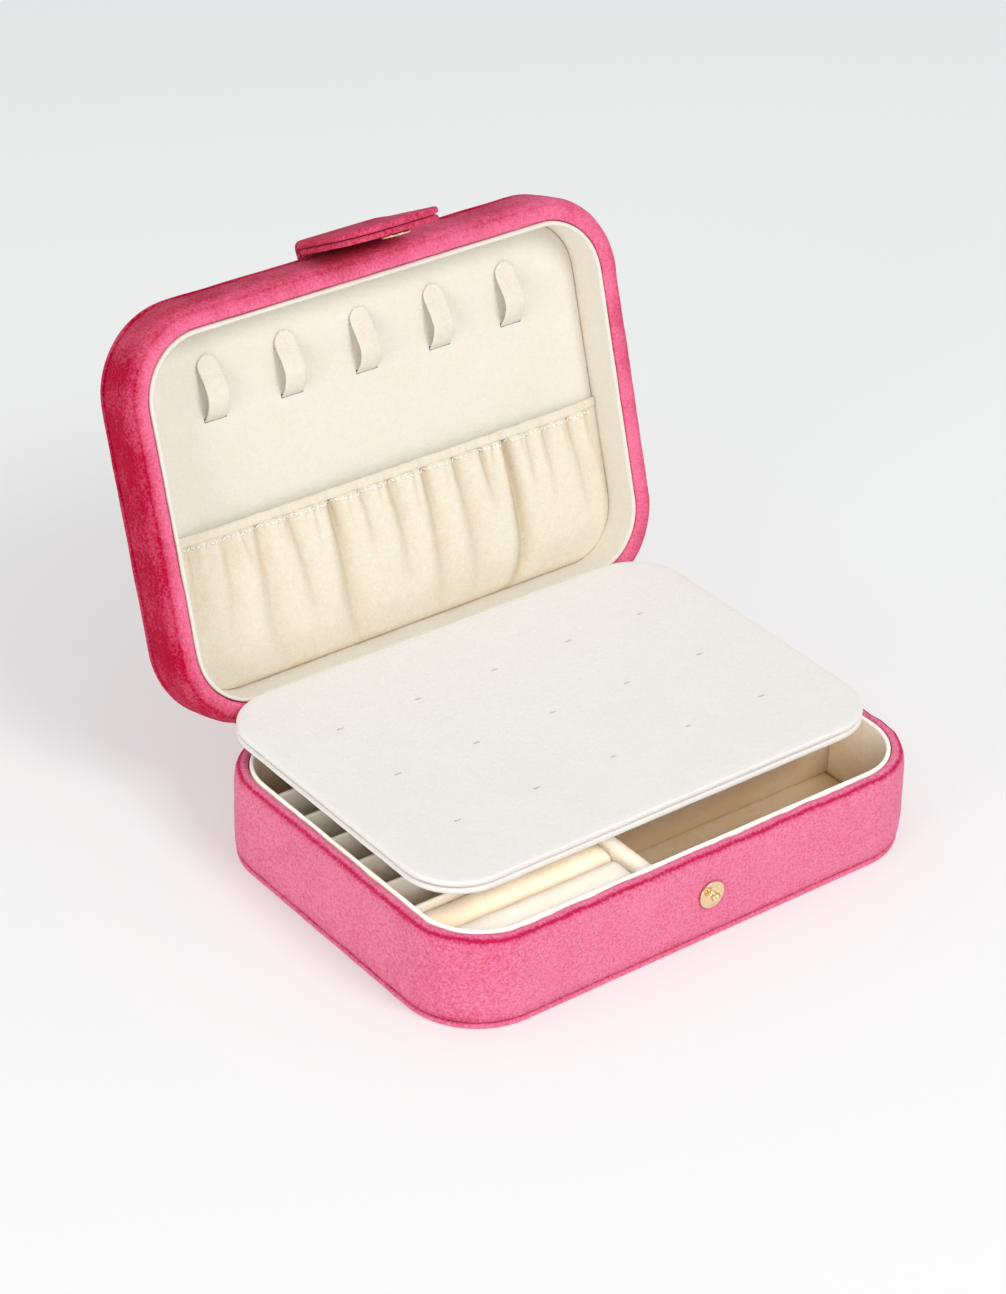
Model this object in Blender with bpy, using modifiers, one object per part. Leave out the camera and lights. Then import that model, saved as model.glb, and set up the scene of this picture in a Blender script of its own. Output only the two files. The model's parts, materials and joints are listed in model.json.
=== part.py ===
"""Travel jewelry box with a velvet shell, lift-up earring board and snap-closed lid.

Metres, +Z up. The origin is the centre of the base's underside, +X runs along the
box's width and -Y points to its front. The box stands open: the lid leans back on its
fabric hinge and the earring board hangs level above the base by its tape.
"""
import math

import bmesh
import bpy
from mathutils import Vector

MM = 0.001

# Fits
GAP = 0.3 * MM                    # between pieces that touch
SLIP = 0.66 * MM                  # between the earring board and the collar it drops into

# Base
BASE_WIDTH = 190.0 * MM           # between the welts of the rim
BASE_DEPTH = 135.0 * MM
BASE_RADIUS = 25.4 * MM
BASE_HEIGHT = 33.2 * MM           # to the rim
WALL_BULGE = 1.4 * MM             # padding that stands out past the welt
RIM_WIDTH = 3.34 * MM             # flat velvet face of the base's rim
BOTTOM_THICKNESS = 2.0 * MM
BOTTOM_LIP = 0.8 * MM             # bottom board past the welt line
COLLAR_THICKNESS = 1.5 * MM
COLLAR_RISE = 0.1 * MM            # collar above the rim
FLOOR_THICKNESS = 2.3 * MM

# Dividers and ring rolls. Bays are measured from the front and left of the lining.
LEFT_BAY_WIDTH = 72.1 * MM
CENTRE_DIVIDER_THICKNESS = 5.2 * MM
TRAY_DEPTH = 37.3 * MM            # front right tray
TRAY_DIVIDER_THICKNESS = 2.0 * MM
FRONT_ROLL_WIDTH = 18.0 * MM
FRONT_ROLL_ROUND = 6.5 * MM
REAR_ROLL_WIDTH = 10.2 * MM
REAR_ROLL_ROUND = 4.2 * MM
ROLL_DROP = 0.4 * MM              # rolls below the dividers' tops
SLAT_THICKNESS = 1.6 * MM
SLAT_COUNT = 5
REAR_BAY_DEPTH = 20.9 * MM        # deep bay behind the slats, which share what is left

# Snap fastener
SNAP_X = 0.8 * MM
SNAP_DROP = 34.0 * MM             # down the flap from its hinge line
STUD_DISC_RADIUS = 4.8 * MM
STUD_DISC_THICKNESS = 0.9 * MM
STUD_NECK_RADIUS = 1.0 * MM
STUD_BALL_RADIUS = 1.65 * MM
STUD_REACH = 3.9 * MM             # ball's tip out from the disc's back
SHANK_RADIUS = 1.2 * MM
WASHER_RADIUS = 3.6 * MM
WASHER_THICKNESS = 0.8 * MM
SOCKET_RADIUS = 4.9 * MM
SOCKET_BORE_RADIUS = 2.2 * MM
SOCKET_FLANGE = 0.8 * MM
SOCKET_BARREL_RADIUS = 3.1 * MM

# Lid, given closed
LID_OVERHANG_X = 2.2 * MM         # lid's side past the base's welt
LID_OVERHANG_Y = 1.9 * MM
LID_RADIUS_MORE = 3.6 * MM        # lid's corner radius past the base's
LID_HEIGHT = 18.8 * MM
LID_RIM_WIDTH = 7.4 * MM
LID_RIM_FLAT = 4.0 * MM           # flat part of that rim, inside its welt
LID_SEAT = 0.4 * MM               # closed rim above the base's rim
LID_PANEL_THICKNESS = 2.4 * MM
LID_BOARD_THICKNESS = 1.6 * MM
LID_OPEN_ANGLE = math.radians(107.0)
HINGE_OUT = 0.6 * MM              # hinge line behind the lid's rear wall
HINGE_DROP = 1.0 * MM             # and below the base's rim
HINGE_TAPE_WIDTH = 150.0 * MM
TAPE_THICKNESS = 0.7 * MM

# Lid fittings
HOOK_COUNT = 5
HOOK_PITCH = 29.6 * MM
HOOK_WIDTH = 8.6 * MM
HOOK_LENGTH = 22.0 * MM
HOOK_BULGE = 3.4 * MM
HOOK_THICKNESS = 1.0 * MM
HOOK_EDGE_GAP = 8.6 * MM          # from the lid board's front edge to the hooks' free ends
POCKET_HEIGHT = 54.0 * MM
POCKET_BAND_HEIGHT = 3.4 * MM
POCKET_BAND_THICKNESS = 1.5 * MM
POCKET_SHEET = 0.9 * MM
POCKET_MOUTH = 3.0 * MM           # band's middle line out from the lid board
POCKET_BULGE = 4.8 * MM
POCKET_MARGIN = 0.6 * MM          # pocket's foot inside the lid board's rear edge

# Earring board
BOARD_THICKNESS = 5.0 * MM
BOARD_EDGE_ROUND = 1.0 * MM
BOARD_REAR_SLACK = 0.3 * MM       # closed board's centre in front of the box's
BOARD_PIVOT_INSET = 0.84 * MM     # lid's pull line in front of the board's rear edge
BOARD_PIVOT_DROP = 1.94 * MM      # and below the board's top
BOARD_TAPE_WIDTH = 138.0 * MM
BOARD_TAPE_HEIGHT = 2.6 * MM
BOARD_TAPE_DROP = 0.5 * MM        # tape's top below the board's top
BOARD_TAPE_THICKNESS = 0.4 * MM
HOLE_COLUMNS = 5
HOLE_ROWS = 3
HOLE_PITCH_X = 30.6 * MM
HOLE_PITCH_Y = 31.0 * MM
HOLE_OFFSET_X = -0.5 * MM
HOLE_OFFSET_Y = -1.2 * MM
HOLE_LENGTH = 3.0 * MM
HOLE_WIDTH = 0.8 * MM

# Closing flap, given closed
FLAP_WIDTH = 36.0 * MM
FLAP_LENGTH = 42.0 * MM
FLAP_OUTER_THICKNESS = 2.2 * MM
FLAP_INNER_THICKNESS = 1.9 * MM
FLAP_INNER_INSET = 0.4 * MM
FLAP_TIP_ROUND = 10.0 * MM
FLAP_ROOT_ROUND = 2.5 * MM
FLAP_ROOT_DROP = 0.6 * MM         # flap's top edge below its hinge line
FLAP_AXIS_OUT = 0.6 * MM          # flap's hinge line in front of the lid
FLAP_AXIS_DROP = 0.2 * MM         # and below its top
FLAP_STANDOFF = 0.2 * MM          # flap's inner face in front of its hinge line
FLAP_OPEN_ANGLE = math.radians(11.0)  # from hanging straight down; it shuts at 3, over the stud
FLAP_TAPE_WIDTH = 30.0 * MM

CORNER_STEPS = 9
TURN_STEPS = 24

# Worked-out sizes
COLLAR_OUTER = RIM_WIDTH + GAP
COLLAR_INNER = COLLAR_OUTER + COLLAR_THICKNESS
COLLAR_TOP = BASE_HEIGHT + COLLAR_RISE
DIVIDER_TOP = COLLAR_TOP - BOARD_THICKNESS - GAP
FLOOR_BOTTOM = BOTTOM_THICKNESS + GAP
FLOOR_TOP = FLOOR_BOTTOM + FLOOR_THICKNESS
BAY_BOTTOM = FLOOR_TOP + GAP
BAY_HALF_X = BASE_WIDTH / 2 - COLLAR_INNER - GAP
BAY_HALF_Y = BASE_DEPTH / 2 - COLLAR_INNER - GAP
BAY_RADIUS = BASE_RADIUS - COLLAR_INNER - GAP
CENTRE_LEFT = LEFT_BAY_WIDTH - BAY_HALF_X
CENTRE_RIGHT = CENTRE_LEFT + CENTRE_DIVIDER_THICKNESS
TRAY_DIVIDER_FRONT = TRAY_DEPTH - BAY_HALF_Y
REAR_ROLL_FRONT = FRONT_ROLL_WIDTH + GAP - BAY_HALF_Y
RING_WALL_FRONT = REAR_ROLL_FRONT + REAR_ROLL_WIDTH + GAP
LAST_SLAT_FRONT = BAY_HALF_Y - REAR_BAY_DEPTH - SLAT_THICKNESS
SLAT_PITCH = (LAST_SLAT_FRONT - RING_WALL_FRONT) / SLAT_COUNT
WALL_FACE_Y = -(BASE_DEPTH / 2 + WALL_BULGE)
WALL_INNER_Y = -(BASE_DEPTH / 2 - RIM_WIDTH)

LID_HALF_X = BASE_WIDTH / 2 + LID_OVERHANG_X
LID_HALF_Y = BASE_DEPTH / 2 + LID_OVERHANG_Y
LID_RADIUS = BASE_RADIUS + LID_RADIUS_MORE
LID_RIM_Z = BASE_HEIGHT + LID_SEAT
LID_TOP_Z = LID_RIM_Z + LID_HEIGHT
LID_PANEL_BOTTOM = LID_TOP_Z - LID_PANEL_THICKNESS
LID_BOARD_TOP = LID_PANEL_BOTTOM - GAP
LID_BOARD_FACE = LID_BOARD_TOP - LID_BOARD_THICKNESS
LID_COLLAR_OUTER = LID_RIM_WIDTH + GAP
LID_BOARD_INSET = LID_COLLAR_OUTER + COLLAR_THICKNESS + GAP
LID_BOARD_HALF_X = LID_HALF_X - LID_BOARD_INSET
LID_BOARD_HALF_Y = LID_HALF_Y - LID_BOARD_INSET
LID_BOARD_RADIUS = LID_RADIUS - LID_BOARD_INSET
HINGE = Vector((0.0, LID_HALF_Y + HINGE_OUT, BASE_HEIGHT - HINGE_DROP))
FLAP_HINGE = Vector((0.0, -(LID_HALF_Y + FLAP_AXIS_OUT), LID_TOP_Z - FLAP_AXIS_DROP))
SNAP_Z = FLAP_HINGE.z - SNAP_DROP

BOARD_HALF_X = BASE_WIDTH / 2 - COLLAR_INNER - SLIP
BOARD_HALF_Y = BASE_DEPTH / 2 - COLLAR_INNER - SLIP
BOARD_RADIUS = BASE_RADIUS - COLLAR_INNER - SLIP
BOARD_LAYER = (BOARD_THICKNESS - GAP) / 2
CLOSED_PULL = Vector((0.0, BOARD_HALF_Y - BOARD_REAR_SLACK - BOARD_PIVOT_INSET,
                      COLLAR_TOP - BOARD_PIVOT_DROP))

PINK = (0.78, 0.10, 0.22, 1.0)
CREAM = (0.87, 0.83, 0.74, 1.0)
GOLD = (0.85, 0.62, 0.36, 1.0)


def clear_scene():
    for obj in list(bpy.data.objects):
        bpy.data.objects.remove(obj, do_unlink=True)


def new_collection(name):
    collection = bpy.data.collections.new(name)
    bpy.context.scene.collection.children.link(collection)
    return collection


def finish_material(name, colour, roughness, metallic=0.0):
    material = bpy.data.materials.new(name)
    material.use_nodes = True
    shader = material.node_tree.nodes["Principled BSDF"]
    shader.inputs["Base Color"].default_value = colour
    shader.inputs["Roughness"].default_value = roughness
    shader.inputs["Metallic"].default_value = metallic
    material.diffuse_color = colour
    return material


def place(name, mesh, finish, parent=None, collection=None):
    """Puts a mesh in the scene as a named sub-part with its own material."""
    colour, roughness, metallic = finish
    mesh.materials.append(finish_material(name, colour, roughness, metallic))
    obj = bpy.data.objects.new(name, mesh)
    (collection or PARTS).objects.link(obj)
    obj.parent = parent
    return obj


def empty(name, parent, location, turn=0.0):
    pivot = bpy.data.objects.new(name, None)
    PARTS.objects.link(pivot)
    pivot.parent = parent
    pivot.location = location
    pivot.rotation_euler = (turn, 0.0, 0.0)
    return pivot


VELVET = (PINK, 0.95, 0.0)
LINING = (CREAM, 0.95, 0.0)
METAL = (GOLD, 0.3, 1.0)


def arc(centre, size, start, end, steps):
    """Points on an ellipse's arc, from the start to the end angle in degrees."""
    points = []
    for step in range(steps + 1):
        angle = math.radians(start + (end - start) * step / steps)
        points.append((centre[0] + size[0] * math.cos(angle), centre[1] + size[1] * math.sin(angle)))
    return points


def mesh_from(bm, name):
    bmesh.ops.recalc_face_normals(bm, faces=bm.faces)
    mesh = bpy.data.meshes.new(name)
    bm.to_mesh(mesh)
    bm.free()
    mesh.shade_smooth()
    mesh.set_sharp_from_angle(angle=math.radians(35))
    return mesh


def outline_body(name, half_x, half_y, radius, profile, hoop, origin=(0, 0, 0)):
    """Carries a profile of (outward offset, height) round a rounded rectangle.

    A hoop's profile is closed, and makes a ring. Any other profile is capped at both ends.
    """
    bm = bmesh.new()
    inner_x = half_x - radius
    inner_y = half_y - radius
    verts = [bm.verts.new((half_x + offset, inner_y, height)) for offset, height in profile]
    edges = [bm.edges.new(pair) for pair in zip(verts, verts[1:])]
    if hoop:
        edges.append(bm.edges.new((verts[-1], verts[0])))
    section = verts + edges
    corners = (((inner_x, inner_y, 0), (-2 * inner_x, 0, 0)), ((-inner_x, inner_y, 0), (0, -2 * inner_y, 0)),
               ((-inner_x, -inner_y, 0), (2 * inner_x, 0, 0)), ((inner_x, -inner_y, 0), (0, 2 * inner_y, 0)))
    for centre, side in corners:
        section = bmesh.ops.spin(bm, geom=section, cent=centre, axis=(0, 0, 1), angle=math.pi / 2,
                                 steps=CORNER_STEPS)["geom_last"]
        edges = [item for item in section if isinstance(item, bmesh.types.BMEdge)]
        section = bmesh.ops.extrude_edge_only(bm, edges=edges)["geom"]
        section = [item for item in section if not isinstance(item, bmesh.types.BMFace)]
        moved = [item for item in section if isinstance(item, bmesh.types.BMVert)]
        bmesh.ops.translate(bm, vec=side, verts=moved)
    bmesh.ops.remove_doubles(bm, verts=bm.verts, dist=0.001 * MM)
    if not hoop:
        rims = [edge for edge in bm.edges if len(edge.link_faces) == 1]
        bmesh.ops.holes_fill(bm, edges=rims, sides=0)
    bmesh.ops.translate(bm, vec=-Vector(origin), verts=bm.verts)
    return mesh_from(bm, name)


def slab_profile(bottom, top, edge_round, steps=3):
    """A flat board's edge with both corners rounded."""
    low = arc((-edge_round, bottom + edge_round), (edge_round, edge_round), -90, 0, steps)
    high = arc((-edge_round, top - edge_round), (edge_round, edge_round), 0, 90, steps)
    return low + high


def box_mesh(name, low, high):
    bm = bmesh.new()
    bmesh.ops.create_cube(bm, size=1.0)
    size = Vector(high) - Vector(low)
    bmesh.ops.scale(bm, vec=size, verts=bm.verts)
    bmesh.ops.translate(bm, vec=(Vector(high) + Vector(low)) / 2, verts=bm.verts)
    return mesh_from(bm, name)


def round_edges(mesh, choose, amount, segments):
    """Rounds the edges of a mesh that the choose function picks by their two ends."""
    bm = bmesh.new()
    bm.from_mesh(mesh)
    picked = [edge for edge in bm.edges if choose(edge.verts[0].co, edge.verts[1].co)]
    bmesh.ops.bevel(bm, geom=picked, affect="EDGES", offset=amount, segments=segments,
                    profile=0.5, material=-1)
    bm.to_mesh(mesh)
    bm.free()
    mesh.shade_smooth()
    mesh.set_sharp_from_angle(angle=math.radians(35))


def cutter(name, mesh, parent=None):
    obj = place(name, mesh, LINING, parent, CUTTERS)
    obj.hide_render = True
    obj.display_type = "WIRE"
    return obj


def cut(obj, tool, operation="DIFFERENCE"):
    modifier = obj.modifiers.new(tool.name, "BOOLEAN")
    modifier.operation = operation
    modifier.object = tool


def turned(name, profile, finish, parent=None, hoop=False, collection=None):
    """Turns a profile of (radius, height) about Z. A hoop's profile is closed, and makes a ring."""
    mesh = bpy.data.meshes.new(name)
    points = [(radius, 0.0, height) for radius, height in reversed(profile)]
    edges = [(i, i + 1) for i in range(len(points) - 1)]
    if hoop:
        edges.append((len(points) - 1, 0))
    mesh.from_pydata(points, edges, [])
    obj = place(name, mesh, finish, parent, collection)
    screw = obj.modifiers.new("turn", "SCREW")
    screw.steps = TURN_STEPS
    screw.render_steps = TURN_STEPS
    screw.use_merge_vertices = True
    screw.merge_threshold = 0.00001
    screw.use_smooth_shade = True
    return obj


def cloth(obj, thickness):
    """Thickens a sheet both ways about itself."""
    skin = obj.modifiers.new("cloth", "SOLIDIFY")
    skin.thickness = thickness
    skin.offset = 0.0
    skin.use_even_offset = True
    return obj


def ribbon(name, path, width_at, thickness, finish, parent=None):
    """A strip of cloth along a path of (y, z) points, as wide as width_at gives at each."""
    bm = bmesh.new()
    edges = []
    for index, (y, z) in enumerate(path):
        half = width_at(index) / 2
        edges.append(bm.edges.new((bm.verts.new((-half, y, z)), bm.verts.new((half, y, z)))))
    for first, second in zip(edges, edges[1:]):
        bmesh.ops.bridge_loops(bm, edges=[first, second])
    return cloth(place(name, mesh_from(bm, name), finish, parent), thickness)


def smooth_path(points, steps=6):
    """A Catmull-Rom curve through a few (y, z) points."""
    ends = [points[0]] + list(points) + [points[-1]]
    path = []
    for before, start, end, after in zip(ends, ends[1:], ends[2:], ends[3:]):
        for step in range(steps):
            t = step / steps
            blend = [0.5 * (2 * b + (c - a) * t + (2 * a - 5 * b + 4 * c - d) * t ** 2
                            + (3 * b - a - 3 * c + d) * t ** 3)
                     for a, b, c, d in zip(before, start, end, after)]
            path.append(tuple(blend))
    path.append(tuple(points[-1]))
    return path


# ---------------------------------------------------------------- base

def base_shell():
    bottom = slab_profile(0.0, BOTTOM_THICKNESS, 0.6 * MM)
    half_x = BASE_WIDTH / 2
    half_y = BASE_DEPTH / 2
    mesh = outline_body("base_bottom_board", half_x + BOTTOM_LIP, half_y + BOTTOM_LIP,
                        BASE_RADIUS + BOTTOM_LIP, bottom, hoop=False)
    place("base_bottom_board", mesh, VELVET)

    foot = FLOOR_BOTTOM
    shoulder = 2.4 * MM
    profile = [(-RIM_WIDTH, foot), (-RIM_WIDTH, BASE_HEIGHT - 0.4 * MM),
               (-RIM_WIDTH + 0.4 * MM, BASE_HEIGHT)]
    profile += reversed(arc((0.0, BASE_HEIGHT - shoulder), (WALL_BULGE, shoulder), 0, 90, 4))
    profile += arc((WALL_BULGE - 1.1 * MM, foot + 3.0 * MM), (1.1 * MM, 3.0 * MM), 0, -90, 3)
    mesh = outline_body("base_wall", half_x, half_y, BASE_RADIUS, profile, hoop=True)
    wall = place("base_wall", mesh, VELVET)

    seat = WASHER_THICKNESS + GAP
    outside = RIM_WIDTH + WALL_BULGE + 2 * MM
    bore = [(0.0, -2 * MM), (WASHER_RADIUS + GAP, -2 * MM), (WASHER_RADIUS + GAP, seat),
            (SHANK_RADIUS + GAP, seat), (SHANK_RADIUS + GAP, outside), (0.0, outside)]
    tool = turned("snap_bore", bore, LINING, None, False, CUTTERS)
    tool.hide_render = True
    tool.display_type = "WIRE"
    tool.rotation_euler = (math.radians(90), 0.0, 0.0)
    tool.location = (SNAP_X, WALL_INNER_Y, SNAP_Z)
    cut(wall, tool)


def base_lining():
    half_x = BASE_WIDTH / 2
    half_y = BASE_DEPTH / 2
    lip = COLLAR_THICKNESS / 2
    profile = [(-COLLAR_INNER, FLOOR_BOTTOM)]
    profile += reversed(arc((-COLLAR_OUTER - lip, COLLAR_TOP - lip), (lip, lip), 0, 180, 6))
    profile += [(-COLLAR_OUTER, FLOOR_BOTTOM)]
    mesh = outline_body("base_collar", half_x, half_y, BASE_RADIUS, profile, hoop=True)
    place("base_collar", mesh, LINING)

    floor = slab_profile(FLOOR_BOTTOM, FLOOR_TOP, 0.5 * MM, steps=2)
    mesh = outline_body("base_floor_pad", BAY_HALF_X, BAY_HALF_Y, BAY_RADIUS, floor, hoop=False)
    place("base_floor_pad", mesh, LINING)


def upright(name, low, high, along, edge_round):
    """A divider with its top edges rounded. along is the axis that it runs along."""
    mesh = box_mesh(name, (*low, BAY_BOTTOM), (*high, DIVIDER_TOP))

    def top_side(a, b):
        level = min(a.z, b.z) > DIVIDER_TOP - 0.1 * MM
        return level and abs(a[along] - b[along]) > 1 * MM

    round_edges(mesh, top_side, edge_round, 3)
    return place(name, mesh, LINING)


def base_dividers():
    upright("centre_divider", (CENTRE_LEFT, -BAY_HALF_Y), (CENTRE_RIGHT, BAY_HALF_Y), 1, 2.2 * MM)
    upright("tray_divider", (CENTRE_RIGHT + GAP, TRAY_DIVIDER_FRONT),
            (BAY_HALF_X, TRAY_DIVIDER_FRONT + TRAY_DIVIDER_THICKNESS), 0, 0.8 * MM)
    names = ["ring_bay_wall"] + [f"bay_divider_{index + 1}" for index in range(SLAT_COUNT)]
    for index, name in enumerate(names):
        y = RING_WALL_FRONT + SLAT_PITCH * index
        upright(name, (-BAY_HALF_X, y), (CENTRE_LEFT - GAP, y + SLAT_THICKNESS), 0, 0.6 * MM)


def ring_rolls():
    """Two padded rolls side by side, with a groove between them that grips rings."""
    prism = outline_body("bay_outline", BAY_HALF_X, BAY_HALF_Y, BAY_RADIUS,
                         [(0.0, 0.0), (0.0, BASE_HEIGHT)], hoop=False)
    bay = cutter("bay_outline", prism)
    top = DIVIDER_TOP - ROLL_DROP
    rolls = (("ring_roll_rear", REAR_ROLL_FRONT, REAR_ROLL_WIDTH, REAR_ROLL_ROUND),
             ("ring_roll_front", -BAY_HALF_Y, FRONT_ROLL_WIDTH, FRONT_ROLL_ROUND))
    for name, front, width, roundness in rolls:
        low = (-BAY_HALF_X, front, BAY_BOTTOM)
        mesh = box_mesh(name, low, (CENTRE_LEFT - GAP, front + width, top))

        def upper_edge(a, b):
            return min(a.z, b.z) > top - 0.1 * MM and max(a.x, b.x) > -BAY_HALF_X + 0.1 * MM

        round_edges(mesh, upper_edge, roundness, 4)
        cut(place(name, mesh, LINING), bay, "INTERSECT")


def snap_stud():
    """Gold stud riveted through the front wall: its axis runs out along -Y."""
    back = 0.0
    disc = STUD_DISC_THICKNESS
    shank = WALL_BULGE + RIM_WIDTH + GAP - WASHER_THICKNESS - GAP - GAP
    ball = STUD_REACH - STUD_BALL_RADIUS
    profile = [(0.0, back - shank), (SHANK_RADIUS, back - shank), (SHANK_RADIUS, back),
               (STUD_DISC_RADIUS - 0.3 * MM, back), (STUD_DISC_RADIUS, back + 0.3 * MM),
               (STUD_DISC_RADIUS - 0.4 * MM, disc), (STUD_NECK_RADIUS, disc)]
    neck = math.degrees(math.acos(STUD_NECK_RADIUS / STUD_BALL_RADIUS))
    profile += arc((0.0, ball), (STUD_BALL_RADIUS, STUD_BALL_RADIUS), -neck, 90, 8)
    profile[-1] = (0.0, STUD_REACH)
    stud = turned("snap_stud", profile, METAL)
    stud.rotation_euler = (math.radians(90), 0.0, 0.0)
    stud.location = (SNAP_X, WALL_FACE_Y - GAP, SNAP_Z)

    washer = [(0.0, 0.0), (WASHER_RADIUS, 0.0), (WASHER_RADIUS, WASHER_THICKNESS),
              (0.0, WASHER_THICKNESS)]
    ring = turned("stud_washer", washer, METAL)
    ring.rotation_euler = (math.radians(90), 0.0, 0.0)
    ring.location = (SNAP_X, WALL_INNER_Y, SNAP_Z)


# ---------------------------------------------------------------- hinge and lid

def opened(y, z):
    """Where a point of the closed lid goes once the lid is open, in the (y, z) plane."""
    y -= HINGE.y
    z -= HINGE.z
    cos = math.cos(LID_OPEN_ANGLE)
    sin = math.sin(LID_OPEN_ANGLE)
    return (HINGE.y + y * cos + z * sin, HINGE.z - y * sin + z * cos)


def outer_hinge_tape():
    """Velvet strip glued down the base's rear wall and up the lid's, bent between them."""
    off = GAP + TAPE_THICKNESS / 2
    wall = BASE_DEPTH / 2 + WALL_BULGE + off
    lid_face = LID_HALF_Y + off
    path = [(wall, 11 * MM), (wall, 20 * MM), (wall, HINGE.z - 3.4 * MM),
            (wall + 1.1 * MM, HINGE.z - 1.5 * MM),
            opened(lid_face, LID_RIM_Z + 4.6 * MM), opened(lid_face, LID_RIM_Z + 9 * MM),
            opened(lid_face, LID_PANEL_BOTTOM - 2 * MM)]
    path = smooth_path(path, 4)
    ribbon("outer_hinge_tape", path, lambda index: HINGE_TAPE_WIDTH, TAPE_THICKNESS, VELVET)


def lid_shell(pivot):
    half_x = LID_HALF_X
    half_y = LID_HALF_Y
    shoulder = LID_RIM_WIDTH - LID_RIM_FLAT
    rise = 4.2 * MM
    wall_top = LID_PANEL_BOTTOM - GAP
    profile = [(-LID_RIM_WIDTH, wall_top), (-LID_RIM_WIDTH, LID_RIM_Z + 0.4 * MM),
               (-LID_RIM_WIDTH + 0.4 * MM, LID_RIM_Z)]
    profile += arc((-shoulder, LID_RIM_Z + rise), (shoulder, rise), -90, 0, 5)
    profile += [(0.0, wall_top - 1.2 * MM), (-0.6 * MM, wall_top)]
    mesh = outline_body("lid_wall", half_x, half_y, LID_RADIUS, profile, True, HINGE)
    place("lid_wall", mesh, VELVET, pivot)

    panel = slab_profile(LID_PANEL_BOTTOM, LID_TOP_Z, 1.0 * MM)
    mesh = outline_body("lid_top_panel", half_x, half_y, LID_RADIUS, panel, False, HINGE)
    place("lid_top_panel", mesh, VELVET, pivot)

    lip = COLLAR_THICKNESS / 2
    centre = (-LID_COLLAR_OUTER - lip, LID_RIM_Z + lip)
    profile = [(-LID_COLLAR_OUTER, LID_BOARD_TOP)]
    profile += arc(centre, (lip, lip), 0, -180, 6)
    profile += [(-LID_COLLAR_OUTER - COLLAR_THICKNESS, LID_BOARD_TOP)]
    mesh = outline_body("lid_collar", half_x, half_y, LID_RADIUS, profile, True, HINGE)
    place("lid_collar", mesh, LINING, pivot)

    board = slab_profile(LID_BOARD_FACE, LID_BOARD_TOP, 0.6 * MM, steps=2)
    mesh = outline_body("lid_lining_board", LID_BOARD_HALF_X, LID_BOARD_HALF_Y,
                        LID_BOARD_RADIUS, board, False, HINGE)
    place("lid_lining_board", mesh, LINING, pivot)


def necklace_hooks(pivot):
    """Cloth tabs sewn into the lid board at one end, bowed out, their free ends lying on it.

    A tab's origin is on the line that it is sewn down along, where it bends as it is lifted.
    """
    half = HOOK_THICKNESS / 2
    shape = ((0.0, 0.0), (0.05, 0.0), (0.17, 0.66), (0.36, 1.0), (0.55, 0.76), (0.73, 0.28),
             (0.87, 0.0), (1.0, 0.0))
    curve = smooth_path([(-HOOK_LENGTH * along, HOOK_BULGE * out) for along, out in shape], 3)
    path = [(y, -half - max(out, 0.0)) for y, out in curve]

    def width(index):
        past = HOOK_WIDTH / 2 - HOOK_LENGTH - path[index][0]
        if past <= 0:
            return HOOK_WIDTH
        return max(2 * math.sqrt(max((HOOK_WIDTH / 2) ** 2 - past ** 2, 0.0)), 1.6 * MM)

    foot = HOOK_EDGE_GAP + HOOK_LENGTH - LID_BOARD_HALF_Y
    for index in range(HOOK_COUNT):
        x = (index - (HOOK_COUNT - 1) / 2) * HOOK_PITCH
        hook = ribbon(f"necklace_hook_{index + 1}", path, width, HOOK_THICKNESS, LINING, pivot)
        hook.location = Vector((x, foot, LID_BOARD_FACE - GAP)) - HINGE


def pocket_half_width(y):
    """Half the pocket's width at a distance y behind the box's centre, inside the lid board's edge."""
    corner = LID_BOARD_HALF_Y - LID_BOARD_RADIUS
    if y <= corner:
        return LID_BOARD_HALF_X - POCKET_MARGIN
    reach = LID_BOARD_RADIUS - POCKET_MARGIN
    drop = math.sqrt(max(reach ** 2 - (y - corner) ** 2, 0.0))
    return LID_BOARD_HALF_X - LID_BOARD_RADIUS + drop


def pocket_standoff(across, down, thickness):
    """How far the pocket's middle sheet stands off the lid board, across -1..1 and down 0..1."""
    seat = GAP + thickness / 2
    mouth = POCKET_MOUTH + (POCKET_BULGE - POCKET_MOUTH) * math.sin(min(down * 2.2, 1.0) * math.pi / 2)
    belly = mouth * math.sqrt(max(1 - max(down - 0.35, 0.0) ** 2 / 0.65 ** 2, 0.0))
    side = max(1 - abs(across) ** 6, 0.0)
    return seat + max(belly - seat, 0.0) * side


def pocket_sheet(name, start, end, thickness, rows, pivot):
    """A cloth band of the pocket between two distances down its height."""
    columns = 22
    top_y = LID_BOARD_HALF_Y - POCKET_HEIGHT - POCKET_MARGIN
    bm = bmesh.new()
    bmesh.ops.create_grid(bm, x_segments=columns, y_segments=rows, size=1.0)
    for vert in bm.verts:
        down = start + (end - start) * (vert.co.y + 1) / 2
        across = vert.co.x
        y = top_y + POCKET_HEIGHT * down
        out = pocket_standoff(across, down, thickness)
        vert.co = Vector((across * pocket_half_width(y), y, LID_BOARD_FACE - out)) - HINGE
    return cloth(place(name, mesh_from(bm, name), LINING, pivot), thickness)


def elastic_pocket(pivot):
    band = POCKET_BAND_HEIGHT / POCKET_HEIGHT
    gap = 2 * GAP / POCKET_HEIGHT
    pocket_sheet("pocket_elastic_band", 0.0, band, POCKET_BAND_THICKNESS, 2, pivot)
    pocket_sheet("pocket", band + gap, 1.0, POCKET_SHEET, 12, pivot)


# ---------------------------------------------------------------- closing flap

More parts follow.
